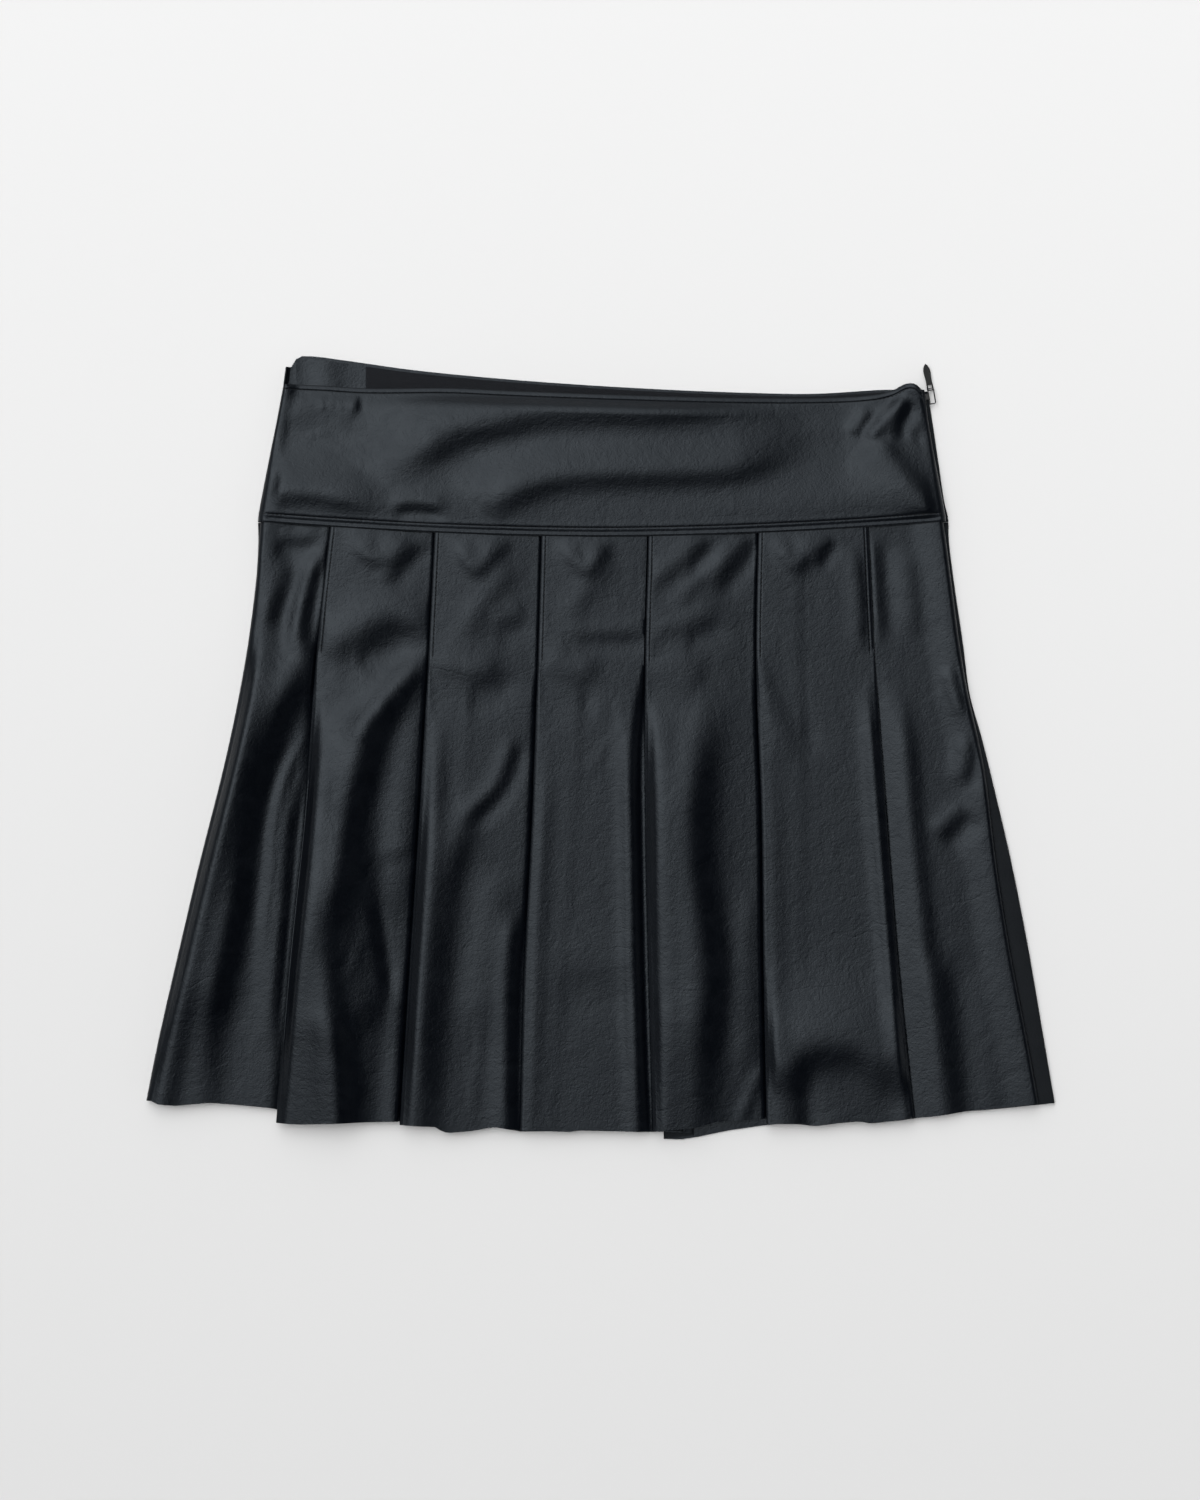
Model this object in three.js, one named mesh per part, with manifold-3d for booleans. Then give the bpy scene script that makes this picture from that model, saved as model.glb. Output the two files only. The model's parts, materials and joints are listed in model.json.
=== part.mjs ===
// A pleated leather mini skirt laid flat: a high yoke over a lower skirt with six stitched-down
// pleats, an inside waist facing, and a concealed zip in the right side. Millimetres, +Z up.
// X runs across the skirt, +Y points to the waist, and the back lies on the surface at Z = 0.
import * as THREE from "three";
import Module from "manifold-3d";
import { mergeVertices } from "three/addons/utils/BufferGeometryUtils.js";

const wasm = await Module();
wasm.setup();

// The cloth: one wall, and how lying layers stack.
const CLOTH = 1.0;
const HALF = CLOTH / 2;
const SEAM_GAP = 0.3;
const LAYER = CLOTH + SEAM_GAP;
const FOLD_REACH = 0.65;

// The lower skirt. "Down" is the distance below the yoke's lower edge, measured along the cloth.
const SKIRT_LENGTH = 338;
const YOKE_LAP = 10;
const RELEASE_DOWN = 71;
const PLEAT_DEPTH_TOP = 22;
const PLEAT_DEPTH_HEM = 16.5;
const PLEAT_LIFT = 1.6;
const PLEAT_LIFT_REACH = 14;
const PANEL_FALL = { gap: 2, length: 10 };
const BACK_FALL = { from: 15, to: 3 };
const FOLD_CLEARANCE = { under: 6, before: 3, after: 5 };
const FRONT_BED = 4.45;
const BACK_BED = HALF;

// Heights of the edges where the front meets the back.
const LEFT_EDGE = { backTop: 3.0, frontEnd: 3.35, radius: 3.0 };
const RIGHT_EDGE = { frontEnd: 4.0, radius: 2.4, zipTurn: FOLD_REACH, sideTurn: 1.2 };
const WAIST_RIM_RADIUS = 1.8;
const NEST = 1.35;
const ZIP_ALLOWANCE = 4;
const SIDE_ALLOWANCE = 15;
const ZIP_END_DOWN = 100;
const ZIP_END_RUN = 40;

// The yoke.
const YOKE_HALF_WIDTH = 196;
const YOKE_EDGE_Y = 120.4;
const YOKE_EDGE_RISE = 8.4;
const YOKE_EDGE_POWER = 1.8;
const YOKE_WAIST_HEIGHT = { middle: 3.2, overZip: 4.55 };
const YOKE_OVER_ZIP = { from: 135, to: 160 };
const YOKE_LOOSE = { waistFrom: 0.04, waistTo: 0.2, hemFrom: 0.98, hemTo: 0.8 };
const YOKE_SIDE_ROUND = 7;
const YOKE_BRIDGE = 3;
const YOKE_RISE = { from: 0.3, to: 0.88 };
const YOKE_STEP_PLACES = { right: [-12, -3, 21, 30, 39], left: [3, 12] };
const YOKE_RIM_PLACES = [0, 6, 12, 18];
const PUCKER = { x: 177, high: 2.4, wide: 7, deep: 0.16 };

// The waist facing inside the back.
const FACING_JOIN_X = -134;
const FACING_ENDS = { left: -174, right: 176 };
const FACING_HIDDEN = 10;
const FACING_INSET = 1.5;

// The zip.
const TAPE_WIDTH = 13;
const TAPE_RISE = 0.05;
const CHAIN_WIDTH = 2.4;
const CHAIN_THICK = 0.9;
const ZIP_HEIGHT = 3.05;
const CHAIN_SETBACK = 2.6;
const ZIP_TOP_Y = 195.4;
const ZIP_STEP = 11.5;
const ZIP_STEPS = 14;

// Side edges of the lower skirt.
const SIDES = [
  { down: -YOKE_LAP, left: -192.2, right: 193.7, backLeft: -195.2, backRight: 198.3 },
  { down: -3, left: -193.5, right: 195.0, backLeft: -195.2, backRight: 198.4 },
  { down: 0, left: -193.85, right: 195.35, backLeft: -195.2, backRight: 198.4 },
  { down: 12, left: -194.8, right: 197.0, backLeft: -195.0, backRight: 198.8 },
  { down: 35, left: -196.4, right: 199.9, backLeft: -196.4, backRight: 201.6 },
  { down: 71, left: -200.9, right: 204.6, backLeft: -200.7, backRight: 206.8 },
  { down: 100, left: -205.8, right: 209.4, backLeft: -205.4, backRight: 210.6 },
  { down: 125, left: -210.8, right: 215.0, backLeft: -210.2, backRight: 217.3 },
  { down: 150, left: -216.4, right: 219.8, backLeft: -215.8, backRight: 223.4 },
  { down: 200, left: -228.8, right: 226.0, backLeft: -228.0, backRight: 234.8 },
  { down: 250, left: -240.3, right: 233.8, backLeft: -239.4, backRight: 244.4 },
  { down: 300, left: -251.5, right: 243.2, backLeft: -250.5, backRight: 252.8 },
  { down: SKIRT_LENGTH, left: -259.0, right: 250.0, backLeft: -258.2, backRight: 259.2 },
];

// Fold edge of each pleat. "Over" is the panel whose edge lies on the outside.
const FRONT_PLEATS = [
  { over: "right", seam: -152.8, release: -161.6, thigh: -168.4, low: -177.6, hem: -184.7 },
  { over: "right", seam: -93.9, release: -97.9, thigh: -103.0, low: -108.8, hem: -114.3 },
  { over: "right", seam: -33.1, release: -35.5, thigh: -38.8, low: -43.4, hem: -45.6 },
  { over: "right", seam: 27.8, release: 25.7, thigh: 25.8, low: 27.6, hem: 30.2 },
  { over: "right", seam: 90.4, release: 89.0, thigh: 91.9, low: 93.1, hem: 94.9 },
  { over: "left", seam: 152.2, release: 156.0, thigh: 162.5, low: 169.7, hem: 178.7 },
];
const BACK_PLEATS = [
  { over: "right", seam: -152.0, release: -158.0, thigh: -165.0, low: -173.0, hem: -181.0 },
  { over: "right", seam: -90.0, release: -90.0, thigh: -92.0, low: -95.0, hem: -99.0 },
  { over: "right", seam: -28.0, release: -27.0, thigh: -28.0, low: -30.0, hem: -33.0 },
  { over: "right", seam: 33.0, release: 34.5, thigh: 35.0, low: 36.0, hem: 36.5 },
  { over: "right", seam: 94.0, release: 97.0, thigh: 101.0, low: 105.0, hem: 109.0 },
  { over: "left", seam: 153.0, release: 159.0, thigh: 166.0, low: 174.0, hem: 183.0 },
];
const PLEAT_STATIONS = { seam: -YOKE_LAP, release: RELEASE_DOWN, thigh: 160, low: 250, hem: SKIRT_LENGTH };

// Height of the cut hem on each panel, at its left, middle and right.
const FRONT_HEM = [
  { left: -201.0, middle: -203.6, right: -206.6 },
  { left: -214.0, middle: -214.2, right: -213.4 },
  { left: -215.2, middle: -218.8, right: -218.8 },
  { left: -218.3, middle: -218.4, right: -219.6 },
  { left: -218.8, middle: -215.6, right: -211.9 },
  { left: -214.6, middle: -215.2, right: -211.8 },
  { left: -211.8, middle: -208.8, right: -203.2 },
];
const BACK_HEM = [
  { left: -199.5, middle: -201.0, right: -203.5 },
  { left: -209.0, middle: -210.0, right: -210.5 },
  { left: -212.0, middle: -214.5, right: -215.5 },
  { left: -216.0, middle: -217.0, right: -219.0 },
  { left: -223.7, middle: -218.6, right: -214.5 },
  { left: -212.5, middle: -212.0, right: -210.0 },
  { left: -209.5, middle: -207.0, right: -203.2 },
];

// The largest folds of the front. A ridge is a crest along a line; a flank is a slope along a line
// that stands high on the line's left, seen from its start, and low on its right.
const FRONT_FOLDS = [
  { kind: "ridge", x0: -188, y0: 60, x1: -246, y1: -215, bow: -2, wide: 9, high: 5.0 },
  { kind: "flank", x0: -224, y0: -215, x1: -166, y1: 50, bow: 8, wide: 9, high: 2.6 },
  { kind: "ridge", x0: -168, y0: 10, x1: -196, y1: -160, bow: 6, wide: 5, high: 1.2 },
  { kind: "ridge", x0: -156, y0: 40, x1: -174, y1: -225, bow: -1, wide: 9, high: 2.6 },
  { kind: "flank", x0: -160, y0: -225, x1: -124, y1: 30, bow: 9, wide: 10, high: 2.2 },
  { kind: "ridge", x0: -118, y0: -80, x1: -119, y1: -230, bow: 0, wide: 5, high: 1.4 },
  { kind: "ridge", x0: -92, y0: 35, x1: -104, y1: -230, bow: 0, wide: 9, high: 2.2 },
  { kind: "flank", x0: -90, y0: -230, x1: -80, y1: -30, bow: 4, wide: 8, high: 1.8 },
  { kind: "ridge", x0: -27, y0: 35, x1: -36, y1: -230, bow: 0, wide: 10, high: 1.2 },
  { kind: "ridge", x0: 33, y0: 35, x1: 40, y1: -230, bow: 0, wide: 8, high: 2.2 },
  { kind: "flank", x0: 59, y0: -230, x1: 66, y1: 5, bow: 3, wide: 8, high: 1.7 },
  { kind: "ridge", x0: 98, y0: 35, x1: 105, y1: -230, bow: 0, wide: 9, high: 1.5 },
  { kind: "flank", x0: 162, y0: -172, x1: 104, y1: -180, bow: -12, wide: 11, high: 1.6 },
  { kind: "ridge", x0: 150, y0: 35, x1: 170, y1: -230, bow: 0, wide: 7, high: 1.4 },
  { kind: "ridge", x0: 176, y0: 20, x1: 192, y1: -225, bow: 0, wide: 8, high: 1.6 },
];
const YOKE_FOLDS = [
  { kind: "flank", x0: -128, y0: 152, x1: 140, y1: 190, bow: 16, wide: 9, high: 1.1 },
  { kind: "flank", x0: 122, y0: 172, x1: -62, y1: 134, bow: 7, wide: 9, high: 1.0 },
  { kind: "ridge", x0: 178, y0: 210, x1: 150, y1: 176, bow: 2, wide: 6, high: 2.2 },
  { kind: "ridge", x0: -172, y0: 196, x1: -186, y1: 140, bow: 0, wide: 9, high: 1.2 },
];

const clamp = (value, low, high) => Math.min(Math.max(value, low), high);
const mix = (a, b, share) => a + (b - a) * share;

// 0 before start, 1 after end, and an even S between them.
function ease(start, end, value) {
  const t = clamp((value - start) / (end - start), 0, 1);
  return t * t * (3 - 2 * t);
}

// A smooth curve through a table's column, read at any place of its key column.
function curveThrough(rows, key, column) {
  const at = rows.map((row) => row[key]);
  const value = rows.map((row) => row[column]);
  const slope = value.map((_, i) => {
    const before = Math.max(i - 1, 0);
    const after = Math.min(i + 1, value.length - 1);
    return (value[after] - value[before]) / (at[after] - at[before]);
  });
  return (place) => {
    const where = clamp(place, at[0], at.at(-1));
    const i = Math.max(1, at.findIndex((a) => a >= where));
    const span = at[i] - at[i - 1];
    const t = (where - at[i - 1]) / span;
    const t2 = t * t;
    const t3 = t2 * t;
    return (
      (2 * t3 - 3 * t2 + 1) * value[i - 1] +
      (t3 - 2 * t2 + t) * span * slope[i - 1] +
      (3 * t2 - 2 * t3) * value[i] +
      (t3 - t2) * span * slope[i]
    );
  };
}

// Height that one fold adds at a point.
function foldHeight(fold, x, y) {
  const dx = fold.x1 - fold.x0;
  const dy = fold.y1 - fold.y0;
  const long = Math.hypot(dx, dy);
  const t = ((x - fold.x0) * dx + (y - fold.y0) * dy) / (long * long);
  const across = ((y - fold.y0) * dx - (x - fold.x0) * dy) / long - fold.bow * 4 * t * (1 - t);
  const ends = ease(0, 0.22, t) * ease(1, 0.78, t);
  const near = across / fold.wide;
  const shape = fold.kind === "ridge" ? Math.exp(-near * near) : near * Math.exp((1 - near * near) / 2);
  return fold.high * shape * ends;
}

const reliefOf = (folds, x, y) => folds.reduce((sum, fold) => sum + foldHeight(fold, x, y), 0);

const yokeEdgeY = (x) => YOKE_EDGE_Y + YOKE_EDGE_RISE * Math.abs(x / YOKE_HALF_WIDTH) ** YOKE_EDGE_POWER;
const pleatDepth = (down) => mix(PLEAT_DEPTH_TOP, PLEAT_DEPTH_HEM, ease(RELEASE_DOWN, SKIRT_LENGTH, down));
const pleatLift = (down) => PLEAT_LIFT * ease(RELEASE_DOWN, SKIRT_LENGTH * 0.6, down);

function pleatLine(pleat) {
  const rows = Object.entries(PLEAT_STATIONS).map(([station, down]) => ({ down, x: pleat[station] }));
  return curveThrough(rows, "down", "x");
}

// Direction of a row of points at one of them. At an end, the row's last three points give it.
function rowDirection(row, c) {
  const end = row.length - 1;
  if (end > 1 && (c === 0 || c === end)) {
    const step = c === 0 ? 1 : -1;
    const [here, next, second] = [row[c], row[c + step], row[c + 2 * step]];
    const inward = here.clone().multiplyScalar(-3).addScaledVector(next, 4).sub(second);
    return inward.multiplyScalar(step);
  }
  return row[Math.min(c + 1, end)].clone().sub(row[Math.max(c - 1, 0)]);
}

// A wall of even thickness on a grid of middle points: rows of points, all of one length.
function wall(rows, thickness = CLOTH) {
  const across = rows[0].length;
  const rowAt = (r) => rows[clamp(r, 0, rows.length - 1)];
  const outer = [];
  const inner = [];
  rows.forEach((row, r) =>
    row.forEach((middle, c) => {
      const down = rowAt(r + 1)[c].clone().sub(rowAt(r - 1)[c]);
      const normal = down.cross(rowDirection(row, c)).normalize().multiplyScalar(thickness / 2);
      outer.push(middle.clone().add(normal));
      inner.push(middle.clone().sub(normal));
    }),
  );
  const positions = [...outer, ...inner].flatMap((p) => [p.x, p.y, p.z]);
  const inside = outer.length;
  const faces = [];
  const quad = (a, b, c, d) => faces.push(a, b, c, a, c, d);
  const id = (r, c) => r * across + c;
  for (let r = 0; r < rows.length - 1; r++) {
    for (let c = 0; c < across - 1; c++) {
      quad(id(r, c), id(r + 1, c), id(r + 1, c + 1), id(r, c + 1));
      quad(inside + id(r, c), inside + id(r, c + 1), inside + id(r + 1, c + 1), inside + id(r + 1, c));
    }
    const last = across - 1;
    quad(id(r, 0), inside + id(r, 0), inside + id(r + 1, 0), id(r + 1, 0));
    quad(id(r, last), id(r + 1, last), inside + id(r + 1, last), inside + id(r, last));
  }
  const bottom = rows.length - 1;
  for (let c = 0; c < across - 1; c++) {
    quad(id(0, c), id(0, c + 1), inside + id(0, c + 1), inside + id(0, c));
    quad(id(bottom, c), inside + id(bottom, c), inside + id(bottom, c + 1), id(bottom, c + 1));
  }
  const geometry = new THREE.BufferGeometry();
  geometry.setAttribute("position", new THREE.Float32BufferAttribute(positions, 3));
  geometry.setIndex(faces);
  return geometry;
}

// Two points round a fold, from one layer to the next, bulging to the side that "way" gives.
function foldPoints(x, fromHeight, toHeight, way) {
  return [1, 2].map((step) => {
    const angle = (step * Math.PI) / 3;
    return {
      x: x + way * FOLD_REACH * Math.sin(angle),
      z: mix(toHeight, fromHeight, (1 + Math.cos(angle)) / 2),
    };
  });
}

// How far a point near the end of a panel may lift: not at all where it runs under the next one.
function looseness(goesUnder, fromEnd) {
  return goesUnder
    ? ease(0, FOLD_CLEARANCE.under, fromEnd)
    : ease(-FOLD_CLEARANCE.before, FOLD_CLEARANCE.after, fromEnd);
}

// One row across the pleated cloth at a distance down, without the loose folds. Each point has
// its place, its share of the way along its panel, and how far the loose folds may lift it.
function pleatedRow(side, down) {
  const depth = pleatDepth(down);
  const edges = side.pleats.map((pleat) => pleatLine(pleat)(down));
  const left = side.left(down);
  const right = side.right(down);
  const level = (n) => side.bed + side.up * n * LAYER;
  const lift = side.up * side.puff * pleatLift(down);
  const points = [];
  const add = (x, z, panel, share, loose = 0) => points.push({ x, z, panel, share, loose });
  const addFold = (x, from, to, way, panel, share) =>
    foldPoints(x, from, to, way).forEach((p) => add(p.x, p.z, panel, share));

  side.leftRim(down).forEach((rim) => add(left + rim.x, rim.z, 0, 0));
  for (let panel = 0; panel <= edges.length; panel++) {
    const before = side.pleats[panel - 1];
    const after = side.pleats[panel];
    const lap = before?.over === "right" ? FOLD_REACH : 0;
    const start = before ? edges[panel - 1] + lap : left + side.leftSet;
    const end = after ? edges[panel] - (after.over === "left" ? FOLD_REACH : 0) : right - side.rightSet(down);
    const highStart = before?.over === "right" ? 1 : 0;
    const highEnd = after?.over === "left" ? 1 : 0;
    side.shares.forEach((share) => {
      const x = mix(start, end, share);
      const fromStart = x - start;
      const toEnd = end - x;
      const falls = side.falls(start, end, depth);
      const high = Math.max(
        highStart * (highEnd || ease(falls.to, falls.from, fromStart)),
        highEnd * ease(depth + PANEL_FALL.gap + PANEL_FALL.length, depth + PANEL_FALL.gap, toEnd),
      );
      let z = level(2 * high);
      z += lift * highStart * ease(PLEAT_LIFT_REACH, 0, fromStart);
      z += lift * highEnd * ease(PLEAT_LIFT_REACH, 0, toEnd);
      if (!before) z = mix(side.leftTop, z, ease(0, side.sideRun, fromStart));
      if (!after) z = mix(side.rightTop(down), z, ease(0, side.sideRun, toEnd));
      const openStart = looseness(before?.over === "left", fromStart);
      const openEnd = looseness(after?.over === "right", toEnd);
      add(x, z, panel, share, openStart * openEnd);
    });
    if (!after) break;
    if (after.over === "right") {
      const fold = edges[panel] + depth;
      add(fold - FOLD_REACH, level(0), panel, 1.25);
      addFold(fold - FOLD_REACH, level(0), level(1), 1, panel, 1.5);
      add(fold - FOLD_REACH, level(1), panel, 1.5);
      add(edges[panel] + FOLD_REACH, level(1), panel, 2);
      addFold(edges[panel] + FOLD_REACH, level(1), level(2) + lift, -1, panel, 2);
    } else {
      const fold = edges[panel] - depth;
      addFold(edges[panel] - FOLD_REACH, level(2) + lift, level(1), 1, panel, 1);
      add(edges[panel] - FOLD_REACH, level(1), panel, 1);
      add(fold + FOLD_REACH, level(1), panel, 1.5);
      addFold(fold + FOLD_REACH, level(1), level(0), -1, panel, 1.5);
      add(fold + FOLD_REACH, level(0), panel, 1.75);
    }
  }
  side.rightRim(down).forEach((rim) => add(right + rim.x, rim.z, edges.length, 1));
  return points;
}

// Where the cut hem lies under a point of the row: along its panel, or along the fold to the next.
function hemY(hems, panel, share) {
  const hem = hems[panel];
  if (share > 1) return mix(hem.right, hems[panel + 1].left, share - 1);
  return share < 0.5 ? mix(hem.left, hem.middle, share * 2) : mix(hem.middle, hem.right, share * 2 - 1);
}

function pleatedWall(side, stations) {
  const top = pleatedRow(side, side.topDown);
  const rows = stations.map((down) => {
    const along = (down - side.topDown) / (SKIRT_LENGTH - side.topDown);
    return pleatedRow(side, down).map((p, i) => {
      const y = mix(yokeEdgeY(top[i].x) - side.topDown, hemY(side.hems, p.panel, p.share), along);
      const loose = p.loose * ease(0, 25, down);
      const lifted = p.z + loose * reliefOf(side.folds, p.x, y);
      return new THREE.Vector3(p.x, y, side.folds.length ? Math.max(lifted, side.bed) : lifted);
    });
  });
  return wall(rows);
}

// Points of a rounded rim from its end, level with the other half, up to the panel.
function frontRim(radius, endHeight, way) {
  return [0, 45].map((degrees) => {
    const angle = (degrees * Math.PI) / 180;
    return { x: way * radius * (1 - Math.cos(angle)), z: endHeight + radius * Math.sin(angle) };
  });
}

const sideCurve = (column) => curveThrough(SIDES, "down", column);

const frontSide = {
  pleats: FRONT_PLEATS,
  hems: FRONT_HEM,
  folds: FRONT_FOLDS,
  left: sideCurve("left"),
  right: sideCurve("right"),
  bed: FRONT_BED,
  up: 1,
  puff: 1,
  topDown: -YOKE_LAP,
  shares: [0, 0.1, 0.22, 0.36, 0.52, 0.68, 0.84, 1],
  falls: (start, end, depth) => ({ from: depth + 2, to: end - start - 2 }),
  leftSet: LEFT_EDGE.radius,
  leftTop: LEFT_EDGE.frontEnd + LEFT_EDGE.radius,
  leftRim: () => frontRim(LEFT_EDGE.radius, LEFT_EDGE.frontEnd, 1),
  rightSet: () => RIGHT_EDGE.radius,
  rightTop: () => RIGHT_EDGE.frontEnd + RIGHT_EDGE.radius,
  rightRim: () => frontRim(RIGHT_EDGE.radius, RIGHT_EDGE.frontEnd, -1).reverse(),
  sideRun: 18,
};

// The back lies flat on its outside. Its left rim turns up to the front, and its right edge turns
// in: a short allowance along the zip, and a deeper one below it that shows past the front.
const belowZip = (down) => ease(ZIP_END_DOWN, ZIP_END_DOWN + ZIP_END_RUN, down);
const backTurn = (down) => mix(RIGHT_EDGE.zipTurn, RIGHT_EDGE.sideTurn, belowZip(down));
const backAllowance = (down) => mix(ZIP_ALLOWANCE, SIDE_ALLOWANCE, belowZip(down));

function backRim(down) {
  const turn = backTurn(down);
  const round = [60, 120, 180].map((degrees) => {
    const angle = (degrees * Math.PI) / 180;
    return { x: -turn * (1 - Math.sin(angle)), z: BACK_BED + turn * (1 - Math.cos(angle)) };
  });
  return [...round, { x: -turn - backAllowance(down), z: BACK_BED + 2 * turn }];
}

const backLeftRadius = LEFT_EDGE.backTop - BACK_BED;
const backLeftRim = () =>
  [0, 45].map((degrees) => {
    const angle = (degrees * Math.PI) / 180;
    return {
      x: backLeftRadius * (1 - Math.cos(angle)),
      z: LEFT_EDGE.backTop - backLeftRadius * Math.sin(angle),
    };
  });

const backSide = {
  pleats: BACK_PLEATS,
  hems: BACK_HEM,
  folds: [],
  left: sideCurve("backLeft"),
  right: sideCurve("backRight"),
  bed: BACK_BED + 2 * LAYER,
  up: -1,
  puff: 0,
  topDown: SEAM_GAP,
  shares: [0, 0.35, 0.72, 0.86, 1],
  falls: (start, end) => ({ from: end - start - BACK_FALL.from, to: end - start - BACK_FALL.to }),
  leftSet: backLeftRadius,
  leftTop: BACK_BED,
  leftRim: backLeftRim,
  rightSet: backTurn,
  rightTop: () => BACK_BED,
  rightRim: backRim,
  sideRun: 40,
};

// The yoke's outline.
const YOKE_SIDES = [
  { y: 110, left: -195.4, right: 196.9, backRight: 198.6 },
  { y: 130, left: -195.2, right: 196.7, backRight: 198.4 },
  { y: 141, left: -193.5, right: 195.0, backRight: 196.0 },
  { y: 164, left: -189.0, right: 190.6, backRight: 192.6 },
  { y: 187, left: -184.4, right: 186.6, backRight: 189.2 },
  { y: 196, left: -182.7, right: 185.6, backRight: 187.8 },
  { y: 208, left: -180.6, right: 183.9, backRight: 185.9 },
  { y: 225, left: -178.6, right: 181.2, backRight: 183.2 },
];
const FRONT_WAIST = [
  { x: -182, y: 207.4 },
  { x: -160, y: 206.4 },
  { x: -134, y: 204.9 },
  { x: -88, y: 205.0 },
  { x: -53, y: 203.4 },
  { x: 11, y: 200.9 },
  { x: 75, y: 199.3 },
  { x: 128, y: 199.3 },
  { x: 157, y: 200.9 },
  { x: 168, y: 203.4 },
  { x: 176, y: 207.2 },
  { x: 181, y: 207.0 },
  { x: 185, y: 203.6 },
];
const BACK_WAIST = [
  { x: -180, y: 216.5 },
  { x: -177, y: 221.6 },
  { x: -172, y: 223.9 },
  { x: -150, y: 221.5 },
  { x: -108, y: 215.7 },
  { x: -54, y: 210.5 },
  { x: 1, y: 206.6 },
  { x: 56, y: 203.8 },
  { x: 110, y: 202.2 },
  { x: 131, y: 202.6 },
  { x: 165, y: 204.6 },
  { x: 187, y: 203.4 },
];

const yokeLeft = curveThrough(YOKE_SIDES, "y", "left");
const yokeRight = curveThrough(YOKE_SIDES, "y", "right");
const yokeBackRight = curveThrough(YOKE_SIDES, "y", "backRight");
const frontWaistY = curveThrough(FRONT_WAIST, "x", "y");
const backWaistY = curveThrough(BACK_WAIST, "x", "y");

// A point between the waist and the yoke's lower edge, set by its share of the way across.
function yokePlace(share, down, waistY, leftAt, rightAt) {
  let y = mix(waistY(0), yokeEdgeY(0), down);
  for (let pass = 0; pass < 4; pass++) {
    const x = mix(leftAt(y), rightAt(y), share);
    y = mix(waistY(x), yokeEdgeY(x), down);
  }
  return { y, left: leftAt(y), right: rightAt(y) };
}

// Height of the upper surface's middle of the lower skirt just under the yoke.
function skirtTopHeight(x) {
  const row = pleatedRow(frontSide, 0);
  let top = 0;
  for (let i = 1; i < row.length; i++) {
    const [a, b] = [row[i - 1], row[i]];
    if (x < Math.min(a.x, b.x) || x > Math.max(a.x, b.x) || a.x === b.x) continue;
    top = Math.max(top, mix(a.z, b.z, (x - a.x) / (b.x - a.x)));
  }
  return top;
}

// The yoke's lower edge rests on the skirt, and bridges the step at each pleat.
const yokeRestHeight = (x) =>
  LAYER + Math.max(...[-YOKE_BRIDGE, 0, YOKE_BRIDGE].map((shift) => skirtTopHeight(x + shift)));

function yokeFrontHeight(x, y, down, edgeX, rims) {
  const overZip = ease(YOKE_OVER_ZIP.from, YOKE_OVER_ZIP.to, x);
  const waist = mix(YOKE_WAIST_HEIGHT.middle, YOKE_WAIST_HEIGHT.overZip, overZip);
  const rise = mix(waist, yokeRestHeight(edgeX), ease(YOKE_RISE.from, YOKE_RISE.to, down));
  const fromLeft = ease(0, YOKE_SIDE_ROUND, x - rims.left);
  const fromRight = ease(0, YOKE_SIDE_ROUND, rims.right - x);
  const settled = mix(rims.leftTop, mix(rims.rightTop, rise, fromRight), fromLeft);
  const fromWaist = ease(YOKE_LOOSE.waistFrom, YOKE_LOOSE.waistTo, down);
  const fromHem = ease(YOKE_LOOSE.hemFrom, YOKE_LOOSE.hemTo, down);
  const loose = fromWaist * fromHem * fromLeft * fromRight;
  const fromPucker = Math.hypot((x - PUCKER.x) / PUCKER.wide, down / PUCKER.deep);
  const pucker = PUCKER.high * Math.exp(-(fromPucker ** 2));
  return Math.max(settled + pucker + loose * reliefOf(YOKE_FOLDS, x, y), waist);
}

// Places across the yoke's lower edge, closest together where it bridges a pleat's step.
function yokeEdgePlaces(start, end) {
  const steps = FRONT_PLEATS.flatMap(({ over, seam }) => YOKE_STEP_PLACES[over].map((shift) => seam + shift));
  const leftRim = YOKE_RIM_PLACES.map((inset) => start + inset);
  const rightRim = YOKE_RIM_PLACES.map((inset) => end - inset).reverse();
  return [...leftRim, ...steps, ...rightRim];
}

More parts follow.
